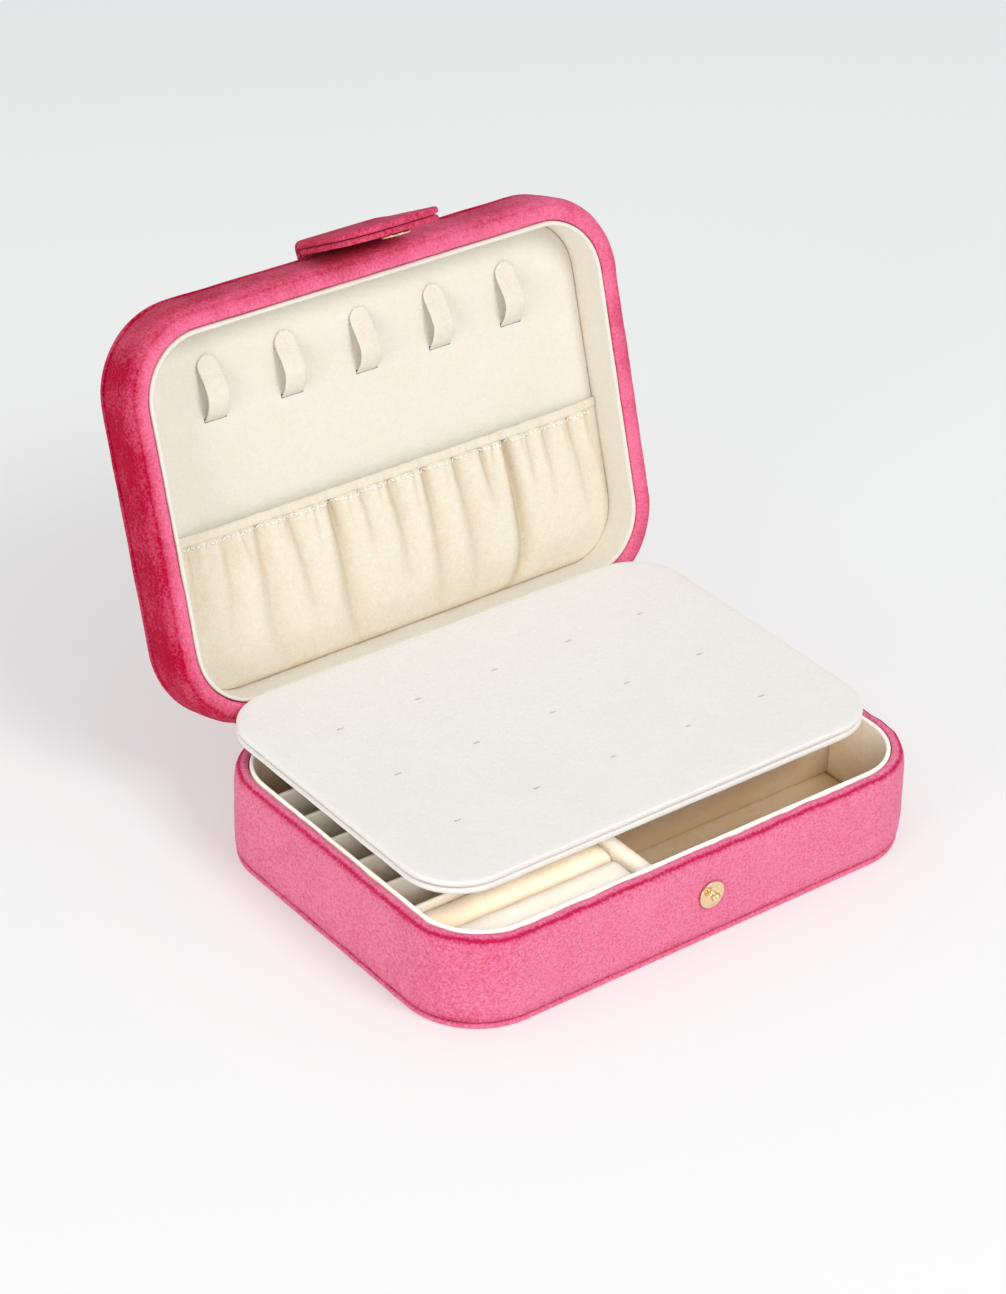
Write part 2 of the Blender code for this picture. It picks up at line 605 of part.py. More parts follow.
def flap_outline(inset):
    """Half of the flap's outline is mirrored: round tip corners, small root corners."""
    half = FLAP_WIDTH / 2 - inset
    root = -FLAP_ROOT_DROP - inset
    tip = -FLAP_LENGTH + inset
    tip_round = FLAP_TIP_ROUND - inset
    right = arc((half - tip_round, tip + tip_round), (tip_round, tip_round), -90, 0, 6)
    right += arc((half - FLAP_ROOT_ROUND, root - FLAP_ROOT_ROUND),
                 (FLAP_ROOT_ROUND, FLAP_ROOT_ROUND), 0, 90, 3)
    return right + [(-x, z) for x, z in reversed(right)]


def flap_layer(name, inset, near, far, pivot):
    """A flat board in the flap's shape between two distances in front of its hinge line."""
    bm = bmesh.new()
    edge = 0.5 * MM
    loops = []
    for depth, shrink in ((near, edge), (near + edge, 0.0), (far - edge, 0.0), (far, edge)):
        verts = [bm.verts.new((x, -depth, z)) for x, z in flap_outline(inset + shrink)]
        count = len(verts)
        loops.append([bm.edges.new((verts[i], verts[(i + 1) % count])) for i in range(count)])
    for lower, upper in zip(loops, loops[1:]):
        bmesh.ops.bridge_loops(bm, edges=lower + upper)
    for loop in (loops[0], loops[-1]):
        bmesh.ops.contextual_create(bm, geom=loop)
    return place(name, mesh_from(bm, name), VELVET, pivot)


def closing_flap(lid_pivot):
    pivot = empty("flap_pivot", lid_pivot, FLAP_HINGE - HINGE, -FLAP_OPEN_ANGLE)

    inner_end = FLAP_STANDOFF + FLAP_INNER_THICKNESS
    inner = flap_layer("flap_inner", FLAP_INNER_INSET, FLAP_STANDOFF, inner_end, pivot)
    flap_layer("flap_outer", 0.0, inner_end + GAP, inner_end + GAP + FLAP_OUTER_THICKNESS, pivot)

    bm = bmesh.new()
    radius = SOCKET_BARREL_RADIUS + GAP
    bmesh.ops.create_cone(bm, cap_ends=True, segments=24, radius1=radius, radius2=radius,
                          depth=3 * FLAP_INNER_THICKNESS)
    hole = cutter("socket_seat", mesh_from(bm, "socket_seat"), pivot)
    hole.rotation_euler = (math.radians(90), 0.0, 0.0)
    hole.location = (SNAP_X, -FLAP_STANDOFF - FLAP_INNER_THICKNESS / 2, -SNAP_DROP)
    cut(inner, hole)

    barrel = FLAP_INNER_THICKNESS - GAP
    flange_out = SOCKET_FLANGE + GAP
    profile = [(SOCKET_BORE_RADIUS, -flange_out), (SOCKET_RADIUS - 0.3 * MM, -flange_out),
               (SOCKET_RADIUS, -flange_out + 0.3 * MM), (SOCKET_RADIUS, -GAP),
               (SOCKET_BARREL_RADIUS, -GAP), (SOCKET_BARREL_RADIUS, barrel),
               (SOCKET_BORE_RADIUS, barrel)]
    socket = turned("snap_socket", profile, METAL, pivot, hoop=True)
    socket.rotation_euler = (math.radians(90), 0.0, 0.0)
    socket.location = (SNAP_X, -FLAP_STANDOFF, -SNAP_DROP)

    flap_tape(lid_pivot, inner_end + GAP + FLAP_OUTER_THICKNESS)


def flap_tape(lid_pivot, flap_face):
    """Velvet strip from the lid's top over the hinge line and down the flap's outer face."""
    off = GAP + TAPE_THICKNESS / 2
    cos = math.cos(FLAP_OPEN_ANGLE)
    sin = math.sin(FLAP_OPEN_ANGLE)

    def on_flap(out, down):
        y = -out * cos - down * sin
        z = out * sin - down * cos
        return (FLAP_HINGE.y - HINGE.y + y, FLAP_HINGE.z - HINGE.z + z)

    top = LID_TOP_Z + off - HINGE.z
    front = -LID_HALF_Y - HINGE.y
    path = [(front + 12 * MM, top), (front + 6 * MM, top), (front + 1.0 * MM, top),
            on_flap(FLAP_STANDOFF + 2.0 * MM, -1.6 * MM), on_flap(flap_face - 0.6 * MM, -0.9 * MM),
            on_flap(flap_face + off, 1.6 * MM), on_flap(flap_face + off, 5 * MM),
            on_flap(flap_face + off, 8 * MM)]
    ribbon("flap_tape", smooth_path(path, 4), lambda index: FLAP_TAPE_WIDTH, TAPE_THICKNESS,
           VELVET, lid_pivot)


# ---------------------------------------------------------------- earring board

def earring_board(lid_pivot):
    """Two padded boards with slits for earrings. The lid pulls them up by a tape, always level."""
    pull = empty("board_pull_pivot", lid_pivot, CLOSED_PULL - HINGE, LID_OPEN_ANGLE)
    seam = Vector((0.0, BOARD_PIVOT_INSET + GAP / 2, BOARD_PIVOT_DROP))
    flip = empty("board_flip_pivot", pull, seam)
    centre_y = -BOARD_HALF_Y - GAP / 2
    tool = hole_cutter(flip, centre_y)
    layers = (("earring_board_base", -BOARD_THICKNESS), ("earring_board_top", -BOARD_LAYER))
    for name, low in layers:
        profile = slab_profile(low, low + BOARD_LAYER, BOARD_EDGE_ROUND)
        mesh = outline_body(name, BOARD_HALF_X, BOARD_HALF_Y, BOARD_RADIUS, profile, False,
                            (0.0, -centre_y, 0.0))
        cut(place(name, mesh, LINING, flip), tool)

    rear = BOARD_PIVOT_INSET + GAP
    top = BOARD_PIVOT_DROP - BOARD_TAPE_DROP
    low = (-BOARD_TAPE_WIDTH / 2, rear, top - BOARD_TAPE_HEIGHT)
    high = (BOARD_TAPE_WIDTH / 2, rear + BOARD_TAPE_THICKNESS, top)
    place("board_hinge_tape", box_mesh("board_hinge_tape", low, high), LINING, pull)


def hole_cutter(pivot, centre_y):
    """Slits for earring posts, in rows, through both layers of the board."""
    bm = bmesh.new()
    for row in range(HOLE_ROWS):
        for column in range(HOLE_COLUMNS):
            made = bmesh.ops.create_cube(bm, size=1.0)["verts"]
            bmesh.ops.scale(bm, vec=(HOLE_LENGTH, HOLE_WIDTH, 3 * BOARD_THICKNESS), verts=made)
            x = HOLE_OFFSET_X + (column - (HOLE_COLUMNS - 1) / 2) * HOLE_PITCH_X
            y = HOLE_OFFSET_Y + (row - (HOLE_ROWS - 1) / 2) * HOLE_PITCH_Y
            bmesh.ops.translate(bm, vec=(x, centre_y + y, -BOARD_THICKNESS / 2), verts=made)
    return cutter("earring_slits", mesh_from(bm, "earring_slits"), pivot)


clear_scene()
PARTS = new_collection("jewelry_box")
CUTTERS = new_collection("cutters")

base_shell()
base_lining()
base_dividers()
ring_rolls()
snap_stud()
outer_hinge_tape()

lid = empty("lid_pivot", None, HINGE, -LID_OPEN_ANGLE)
lid_shell(lid)
necklace_hooks(lid)
elastic_pocket(lid)
closing_flap(lid)
earring_board(lid)
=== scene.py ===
import json
import math
import random

import bmesh
import bpy
from mathutils import Matrix, Vector, noise
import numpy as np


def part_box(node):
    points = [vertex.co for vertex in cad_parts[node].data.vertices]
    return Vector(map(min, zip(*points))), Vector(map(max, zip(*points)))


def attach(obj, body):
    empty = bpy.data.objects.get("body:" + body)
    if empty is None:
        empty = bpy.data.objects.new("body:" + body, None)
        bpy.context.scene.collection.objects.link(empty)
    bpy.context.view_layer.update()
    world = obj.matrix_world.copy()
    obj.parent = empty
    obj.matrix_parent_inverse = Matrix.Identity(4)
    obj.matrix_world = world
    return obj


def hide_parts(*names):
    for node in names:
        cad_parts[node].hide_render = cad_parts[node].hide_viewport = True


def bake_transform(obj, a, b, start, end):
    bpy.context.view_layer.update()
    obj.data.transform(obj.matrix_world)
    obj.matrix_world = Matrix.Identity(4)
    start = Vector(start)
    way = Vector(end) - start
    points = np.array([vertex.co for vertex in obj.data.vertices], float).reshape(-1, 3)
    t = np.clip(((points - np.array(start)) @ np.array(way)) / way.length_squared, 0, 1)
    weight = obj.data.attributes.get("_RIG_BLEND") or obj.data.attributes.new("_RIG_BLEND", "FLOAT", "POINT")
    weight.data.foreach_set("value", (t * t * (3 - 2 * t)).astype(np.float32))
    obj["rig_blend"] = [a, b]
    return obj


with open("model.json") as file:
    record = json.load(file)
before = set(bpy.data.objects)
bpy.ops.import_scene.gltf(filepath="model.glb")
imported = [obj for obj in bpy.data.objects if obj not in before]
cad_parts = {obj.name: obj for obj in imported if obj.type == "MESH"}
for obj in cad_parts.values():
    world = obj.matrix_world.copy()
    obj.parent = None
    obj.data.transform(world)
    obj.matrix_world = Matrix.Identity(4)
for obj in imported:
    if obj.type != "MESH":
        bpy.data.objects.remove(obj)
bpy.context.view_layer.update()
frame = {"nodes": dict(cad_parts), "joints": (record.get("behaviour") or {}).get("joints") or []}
MM = 0.001

# ---------------------------------------------------------------- camera and studio
# The camera looks down on the open box from the front left, through a long lens.
# The floor is a wide sheet of white paper that glows a little, as under a light tent. One
# large soft box stands high at the front and one low on the left.
EYE = Vector((-622.074, -750.807, 681.685)) * MM
TURN = -0.668104
TILT = -0.558897
ROLL = 0.031528

lens = bpy.data.cameras.new("camera")
lens.lens = 101.92
lens.sensor_width = 36.0
lens.clip_start = 0.05
lens.clip_end = 50.0
camera = bpy.data.objects.new("camera", lens)
bpy.context.scene.collection.objects.link(camera)
aim = (Matrix.Rotation(TURN, 4, "Z") @ Matrix.Rotation(math.pi / 2 + TILT, 4, "X")
       @ Matrix.Rotation(ROLL, 4, "Z"))
camera.matrix_world = Matrix.Translation(EYE) @ aim
bpy.context.scene.camera = camera
bpy.context.scene.view_settings.view_transform = "Standard"


def paint(red, green, blue):
    """A colour given as it looks on a screen, 0 to 255, in the linear values that shaders take."""
    parts = [shown / 255 for shown in (red, green, blue)]
    linear = [part / 12.92 if part <= 0.04045 else ((part + 0.055) / 1.055) ** 2.4
              for part in parts]
    return (*linear, 1.0)


class Value:
    """A number or colour that changes over a surface. Sums on a number add Math nodes."""

    def __init__(self, look, socket):
        self.look = look
        self.socket = socket

    def work(self, operation, first, second):
        return self.look.node("ShaderNodeMath", {"operation": operation}, {0: first, 1: second})

    def __add__(self, other):
        return self.work("ADD", self, other)

    def __sub__(self, other):
        return self.work("SUBTRACT", self, other)

    def __rsub__(self, other):
        return self.work("SUBTRACT", other, self)

    def __mul__(self, other):
        return self.work("MULTIPLY", self, other)

    __radd__ = __add__
    __rmul__ = __mul__

    def between(self, low, high):
        """0 at low and below, 1 at high and above."""
        ends = {"Value": self, "From Min": low, "From Max": high}
        return self.look.node("ShaderNodeMapRange", {}, ends)


class Look:
    """A finish that is being made: one shader and the nodes that feed it."""

    def __init__(self, name):
        self.material = bpy.data.materials.new(name)
        self.material.use_nodes = True
        self.tree = self.material.node_tree
        self.tree.nodes.clear()

    def node(self, kind, settings, inputs, take=0):
        made = self.tree.nodes.new(kind)
        for name, setting in settings.items():
            setattr(made, name, setting)
        for name, given in inputs.items():
            if isinstance(given, Value):
                self.tree.links.new(given.socket, made.inputs[name])
            else:
                made.inputs[name].default_value = given
        return Value(self, made.outputs[take] if made.outputs else None)

    def place(self, stretch=(1.0, 1.0, 1.0)):
        """Where a point of the surface is, with a pattern made longer or shorter along an axis."""
        where = self.node("ShaderNodeTexCoord", {}, {}, "Object")
        if stretch == (1.0, 1.0, 1.0):
            return where
        return self.node("ShaderNodeMapping", {}, {"Vector": where, "Scale": stretch})

    def cloud(self, where, scale, detail=2.0, warp=0.0):
        inputs = {"Vector": where, "Scale": scale, "Detail": detail, "Distortion": warp}
        return self.node("ShaderNodeTexNoise", {}, inputs, "Fac")

    def attribute(self, name):
        return self.node("ShaderNodeAttribute", {"attribute_name": name}, {}, "Fac")

    def mix(self, share, first, second):
        inputs = {0: share, 6: first, 7: second}
        return self.node("ShaderNodeMix", {"data_type": "RGBA"}, inputs, 2)

    def bump(self, height, depth, strength=1.0):
        inputs = {"Height": height, "Distance": depth, "Strength": strength}
        return self.node("ShaderNodeBump", {}, inputs)

    def shader(self, inputs):
        surface = self.node("ShaderNodeBsdfPrincipled", {}, inputs)
        self.node("ShaderNodeOutputMaterial", {}, {"Surface": surface})
        return self.material


def paper_look():
    look = Look("studio_paper")
    where = look.place()
    across = look.node("ShaderNodeSeparateXYZ", {}, {0: where}, 1)
    along = look.node("ShaderNodeSeparateXYZ", {}, {0: where}, 0)
    far = (across * 0.78 + along * 0.62).between(-0.35, 1.5)
    colour = look.mix(far, paint(206, 206, 206), paint(188, 191, 191))
    glow = look.mix(far, paint(255, 255, 255), paint(236, 240, 239))
    return look.shader({"Base Color": colour, "Roughness": 0.9, "Specular IOR Level": 0.1,
                        "Emission Color": glow, "Emission Strength": 0.375})


def plane(name, half, height, material):
    bm = bmesh.new()
    bmesh.ops.create_grid(bm, x_segments=1, y_segments=1, size=half)
    bmesh.ops.translate(bm, vec=(0, 0, height), verts=bm.verts)
    mesh = bpy.data.meshes.new(name)
    bm.to_mesh(mesh)
    bm.free()
    mesh.materials.append(material)
    made = bpy.data.objects.new(name, mesh)
    bpy.context.scene.collection.objects.link(made)


plane("studio_floor", 6.0, -0.05 * MM, paper_look())


def soft_box(name, size, power, spot, target, colour):
    light = bpy.data.lights.new(name, "AREA")
    light.shape = "DISK"
    light.size = size
    light.energy = power
    light.color = colour
    lamp = bpy.data.objects.new(name, light)
    bpy.context.scene.collection.objects.link(lamp)
    lamp.location = spot
    lamp.rotation_euler = (Vector(target) - Vector(spot)).to_track_quat("-Z", "Y").to_euler()
    return lamp


soft_box("front_box", 1.2, 32.0, (0.35, -1.9, 2.0), (0, 0, 0.05), (1.0, 0.985, 0.96))
soft_box("left_box", 1.0, 13.0, (-2.0, -0.6, 0.55), (0, 0, 0.04), (1.0, 0.99, 0.97))
# A reflector in front throws light in under the board, only on the pieces linked to it at the end.
reflector = soft_box("reflector", 1.2, 34.0, (-0.8, -1.6, 1.0), (0, 0, 0.03), (1.0, 0.97, 0.91))

sky = bpy.data.worlds.new("studio")
sky.use_nodes = True
sky.node_tree.nodes["Background"].inputs["Color"].default_value = (0.97, 0.985, 1.0, 1.0)
sky.node_tree.nodes["Background"].inputs["Strength"].default_value = 0.6
bpy.context.scene.world = sky

# ---------------------------------------------------------------- base wall
# Pink velvet over thin foam on a bent board, 31 mm high, glued to the bottom board. Its cloth
# turns in at the rim, where a tight welt line runs between the padded side and the rim's flat
# face. Its foot is tucked under against the bottom board.
BASE_HALF_X = 95.0 * MM
BASE_HALF_Y = 67.5 * MM
BASE_RADIUS = 25.4 * MM
PINK_FACE = paint(245, 134, 170)
PINK_DEEP = paint(206, 30, 84)


def swept(half_x, half_y, radius, profile, closed=True, step=2.5 * MM, corner_steps=16):
    """Carries a profile of (outward offset, height, tone) in mm round a rounded rectangle.

    The tone is kept on the vertices and darkens the cloth towards its deep colour: the profiles use it for
    painted shade in creases and hollows, and below nought for painted light. An open profile is capped.
    """
    bm = bmesh.new()
    tone = bm.verts.layers.float.new("tone")
    inner_x = half_x - radius
    inner_y = half_y - radius
    verts = []
    for offset, height, shade in profile:
        vert = bm.verts.new((half_x + offset * MM, inner_y, height * MM))
        vert[tone] = shade
        verts.append(vert)
    edges = [bm.edges.new(pair) for pair in zip(verts, verts[1:])]
    if closed:
        edges.append(bm.edges.new((verts[-1], verts[0])))
    section = verts + edges
    sides = (((inner_x, inner_y), (-2 * inner_x, 0)), ((-inner_x, inner_y), (0, -2 * inner_y)),
             ((-inner_x, -inner_y), (2 * inner_x, 0)), ((inner_x, -inner_y), (0, 2 * inner_y)))
    for centre, side in sides:
        section = bmesh.ops.spin(bm, geom=section, cent=(*centre, 0), axis=(0, 0, 1),
                                 angle=math.pi / 2, steps=corner_steps)["geom_last"]
        runs = max(1, round(Vector(side).length / step))
        for _ in range(runs):
            edges = [item for item in section if isinstance(item, bmesh.types.BMEdge)]
            section = bmesh.ops.extrude_edge_only(bm, edges=edges)["geom"]
            section = [item for item in section if not isinstance(item, bmesh.types.BMFace)]
            moved = [item for item in section if isinstance(item, bmesh.types.BMVert)]
            bmesh.ops.translate(bm, vec=(side[0] / runs, side[1] / runs, 0), verts=moved)
    bmesh.ops.remove_doubles(bm, verts=bm.verts, dist=0.002 * MM)
    if not closed:
        rims = [edge for edge in bm.edges if len(edge.link_faces) == 1]
        bmesh.ops.holes_fill(bm, edges=rims, sides=0)
    bmesh.ops.recalc_face_normals(bm, faces=bm.faces)
    return bm


def ripple(bm, amount, size, seed=0.0):
    """Moves the surface in and out a little, as cloth over foam is never quite even."""
    bm.normal_update()
    start = Vector((seed, 2 * seed, -seed))
    moves = [(vert, vert.normal * amount * noise.noise(vert.co / size + start)) for vert in bm.verts]
    for vert, move in moves:
        vert.co += move


def finished(bm, name, material, body, slot, *nodes):
    """Makes the mesh a piece that rides on a body and stands for those CAD nodes."""
    mesh = bpy.data.meshes.new(name)
    bm.to_mesh(mesh)
    bm.free()
    mesh.shade_smooth()
    mesh.materials.append(material)
    piece = bpy.data.objects.new(name, mesh)
    bpy.context.scene.collection.objects.link(piece)
    if body:
        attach(piece, body)
    if nodes:
        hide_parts(*nodes)
    return piece


def velvet(name, face, deep, mottle, grain=0.6, sheen=0.3):
    """Pile cloth: patches where it was brushed one way or the other, and a fine speckle. The vertices' tone
    mixes in the deep colour as painted shade.
    """
    look = Look(name)
    where = look.place()
    patches = look.cloud(where, 46.0, 3.0, 0.6).between(0.32, 0.68)
    strokes = look.cloud(look.place((1.0, 1.0, 0.3)), 210.0, 2.0, 0.4).between(0.3, 0.7)
    pile = look.cloud(where, 1250.0, 1.0).between(0.3, 0.7)
    tufts = look.cloud(where, 560.0, 1.0).between(0.3, 0.7)
    # The tone attribute is painted shade (painted light below nought), laid on the vertices by each piece.
    shade = look.attribute("tone") + (patches - 0.5) * mottle + (strokes - 0.5) * (mottle / 2)
    shade = shade + (pile - 0.5) * grain + (tufts - 0.5) * (grain / 3) + 0.2
    colour = look.mix(shade.between(0.0, 1.2), face, deep)
    rough = patches * 0.1 + 0.84
    height = pile * 0.7 + tufts * 0.3
    return look.shader({
        "Base Color": colour, "Roughness": rough, "Specular IOR Level": 0.1,
        "Sheen Weight": sheen, "Sheen Roughness": 0.4, "Sheen Tint": (1.0, 0.66, 0.74, 1.0),
        "Normal": look.bump(height, 0.5 * MM, 0.9)})


base_velvet = velvet("base_velvet", PINK_FACE, PINK_DEEP, 0.14)
# The third number in each step is painted shade: darker at the foot, in the welt line and on the rim's inner
# face, where the cloth creases in.
WALL_PROFILE = ((-0.4, 2.3, 0.9), (0.3, 2.35, 0.9), (0.85, 3.1, 0.5), (1.2, 4.8, 0.12),
                (1.38, 8.0, 0.0), (1.4, 12.0, 0.0), (1.4, 16.0, 0.0), (1.4, 20.0, 0.0),
                (1.36, 24.0, 0.0), (1.22, 27.4, 0.0), (0.95, 29.6, 0.0), (0.66, 31.0, 0.1),
                (0.35, 31.8, 0.4), (0.05, 32.2, 0.9), (-0.3, 32.3, 1.1), (-0.65, 32.4, 1.0),
                (-0.95, 32.7, 0.5), (-1.3, 32.95, 0.1), (-1.9, 33.08, -0.05), (-2.6, 33.02, 0.0),
                (-3.15, 32.75, 0.1), (-3.34, 32.2, 0.3), (-3.34, 18.0, 0.3), (-3.34, 2.3, 0.3))
wall = swept(BASE_HALF_X, BASE_HALF_Y, BASE_RADIUS, WALL_PROFILE, step=1.4 * MM, corner_steps=28)
wall_painted_shade = wall.verts.layers.float["tone"]
# Painted shade: the wall's front left corner is made darker.
for vert in wall.verts:
    corner = max(0.0, min(1.0, (-vert.co.x - 62 * MM) / (25 * MM)))
    corner *= max(0.0, min(1.0, (-vert.co.y - 30 * MM) / (25 * MM)))
    vert[wall_painted_shade] += 0.16 * corner
    near_welt = max(0.0, 1 - abs(vert.co.z - 32.4 * MM) / (2.2 * MM))
    vert.co.z += near_welt * 0.55 * MM * noise.noise(vert.co / (6 * MM))
ripple(wall, 0.16 * MM, 9 * MM)
ripple(wall, 0.16 * MM, 2.6 * MM, 5.0)
finished(wall, "base_wall_velvet", base_velvet, "base", "pink_velvet", "base_wall")

# ---------------------------------------------------------------- bottom board
# A 2 mm board covered in the same velvet, glued on under the wall. Its rounded edge stands out
# past the wall's foot as a thin lip, and its underside is flat. The colour darkens as painted
# shade where the lip runs in under the wall's foot, and is a little darker towards the middle
# of the underside.
BOTTOM_PROFILE = ((-22.0, 0.0, 0.45), (-12.0, 0.0, 0.4), (-4.0, 0.0, 0.35), (-1.2, 0.0, 0.3),
                  (-0.45, 0.12, 0.2), (-0.1, 0.5, 0.12), (0.0, 1.0, 0.08), (-0.1, 1.5, 0.12),
                  (-0.5, 1.9, 0.3), (-1.3, 2.0, 0.8), (-3.0, 2.0, 0.9), (-20.0, 2.0, 0.9))
bottom = swept(BASE_HALF_X + 0.8 * MM, BASE_HALF_Y + 0.8 * MM, BASE_RADIUS + 0.8 * MM,
               BOTTOM_PROFILE, closed=False)
for vert in bottom.verts:
    if 0.3 * MM < vert.co.z < 1.7 * MM:
        vert.co.xy *= 1 + 0.0012 * noise.noise(vert.co / (3.5 * MM))
finished(bottom, "bottom_board_velvet", base_velvet, "base", "pink_velvet", "base_bottom_board")

# ---------------------------------------------------------------- base lining collar
# A strip of card covered in cream suede cloth, bent round inside the wall and glued. Its top
# edge is rounded and stands just above the velvet rim.
CREAM_FACE = paint(247, 242, 232)
CREAM_DEEP = paint(226, 198, 162)


def suede(name, face, deep, mottle=0.3, sheen=0.2):
    """Brushed cream cloth with a short nap. The deep colour shows where the light falls short."""
    look = Look(name)
    where = look.place()
    patches = look.cloud(where, 60.0, 3.0, 0.8).between(0.3, 0.7)
    nap = look.cloud(where, 1500.0, 1.0).between(0.3, 0.7)
    tufts = look.cloud(where, 480.0, 3.0).between(0.3, 0.7)
    shade = look.attribute("tone") + (patches - 0.5) * mottle + (nap - 0.5) * 0.14
    shade = shade + (tufts - 0.5) * 0.12 + 0.1
    colour = look.mix(shade.between(0.0, 1.1), face, deep)
    return look.shader({
        "Base Color": colour, "Roughness": patches * 0.08 + 0.88,
        "Specular IOR Level": 0.1, "Sheen Weight": sheen, "Sheen Roughness": 0.4,
        "Sheen Tint": (1.0, 0.98, 0.94, 1.0),
        "Normal": look.bump(nap * 0.5 + tufts * 0.5, 0.22 * MM, 0.5)})


lining = suede("cream_lining", CREAM_FACE, CREAM_DEEP)
# Painted shade: the collar's inner face grows darker further down into the box, and its outer face, against
# the wall, is a little darker too.
COLLAR_PROFILE = ((-3.64, 2.3, 0.3), (-3.64, 18.0, 0.1), (-3.64, 32.4, 0.3), (-3.72, 32.85, 0.0),
                  (-3.95, 33.18, 0.0), (-4.39, 33.3, 0.0), (-4.83, 33.18, 0.0),
                  (-5.06, 32.85, 0.15), (-5.14, 32.4, 0.3), (-5.14, 29.0, 0.5), (-5.14, 24.0, 0.65),
                  (-5.14, 18.0, 0.75), (-5.14, 10.0, 0.85), (-5.14, 5.5, 0.95), (-5.14, 2.3, 1.0))
collar = swept(BASE_HALF_X, BASE_HALF_Y, BASE_RADIUS, COLLAR_PROFILE)
ripple(collar, 0.10 * MM, 7 * MM, 3.0)
finished(collar, "base_collar_suede", lining, "base", "cream_velvet", "base_collar")

# ---------------------------------------------------------------- floor pad
# A thin padded board in cream suede cloth that lies in the bottom of the base, inside the
# collar, under every divider and ring roll.
pad_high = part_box("base_floor_pad")[1]
PAD_RADIUS = 19.96 * MM
# Painted shade: the pad takes tone 0.85 to 0.9 all over, so it shows the lining's deep colour at the bottom
# of the box.
PAD_PROFILE = ((-18.0, 2.3, 0.9), (-0.6, 2.3, 0.9), (0.0, 2.9, 0.9), (0.0, 3.8, 0.9),
               (-0.5, 4.35, 0.9), (-1.5, 4.55, 0.9), (-6.0, 4.6, 0.85), (-19.0, 4.6, 0.85))
pad = swept(pad_high.x, pad_high.y, PAD_RADIUS, PAD_PROFILE, closed=False)
finished(pad, "floor_pad_suede", lining, "base", "cream_velvet", "base_floor_pad")

# ---------------------------------------------------------------- dividers of the base
# Cards covered in cream suede cloth and glued upright on the floor pad. A thick padded one runs
# from front to rear with a round top. A thin one closes the right tray, and six more make the
# bays on the left.


def upright_board(node, edge_round, top_round, shade=0.85):
    """A covered card the size of its CAD node, with its edges and top rounded, and painted shade that
    deepens further below its top.
    """
    low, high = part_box(node)
    bm = bmesh.new()
    bmesh.ops.create_cube(bm, size=1.0)
    bmesh.ops.scale(bm, vec=high - low, verts=bm.verts)
    bmesh.ops.translate(bm, vec=(high + low) / 2, verts=bm.verts)
    along = 0 if high.x - low.x > high.y - low.y else 1
    longs = [edge for edge in bm.edges
             if abs(edge.verts[0].co[along] - edge.verts[1].co[along]) > 1 * MM]
    cuts = round((high[along] - low[along]) / (4 * MM))
    bmesh.ops.subdivide_edges(bm, edges=longs, cuts=cuts, use_grid_fill=True)
    tall = [edge for edge in bm.edges if abs(edge.verts[0].co.z - edge.verts[1].co.z) > 1 * MM]
    bmesh.ops.subdivide_edges(bm, edges=tall, cuts=5, use_grid_fill=True)
    sharp = [edge for edge in bm.edges if edge.calc_face_angle(0.0) > 1.0]
    top = [edge for edge in sharp if min(v.co.z for v in edge.verts) > high.z - 0.01 * MM]
    rest = [edge for edge in sharp if edge not in top]
    bmesh.ops.bevel(bm, geom=top, affect="EDGES", offset=top_round, segments=5, profile=0.5,
                    material=-1, clamp_overlap=True)
    rest = [edge for edge in rest if edge.is_valid and edge.calc_face_angle(0.0) > 1.0]
    bmesh.ops.bevel(bm, geom=rest, affect="EDGES", offset=edge_round, segments=2, profile=0.5,
                    material=-1, clamp_overlap=True)
    tone = bm.verts.layers.float.new("tone")
    for vert in bm.verts:
        depth = max(0.0, high.z - vert.co.z)
        # Painted shade: darker further below the card's top, deep in the box.
        vert[tone] = 0.05 + shade * min(1.0, depth / (16 * MM))
    bmesh.ops.recalc_face_normals(bm, faces=bm.faces)
    ripple(bm, 0.10 * MM, 6 * MM, high.y * 100)
    finished(bm, f"{node}_suede", lining, "base", "cream_velvet", node)


upright_board("centre_divider", 0.5 * MM, 2.3 * MM)
upright_board("tray_divider", 0.3 * MM, 0.7 * MM)
upright_board("ring_bay_wall", 0.3 * MM, 0.7 * MM)
for index in range(1, 6):
    upright_board(f"bay_divider_{index}", 0.3 * MM, 0.7 * MM, shade=0.45)

# ---------------------------------------------------------------- ring rolls
# Two lengths of foam wrapped in cream suede cloth, pressed side by side into the front left
# bay. Rings are pushed down into the groove between their round tops.


ROLL_ROUND = 6.5 * MM


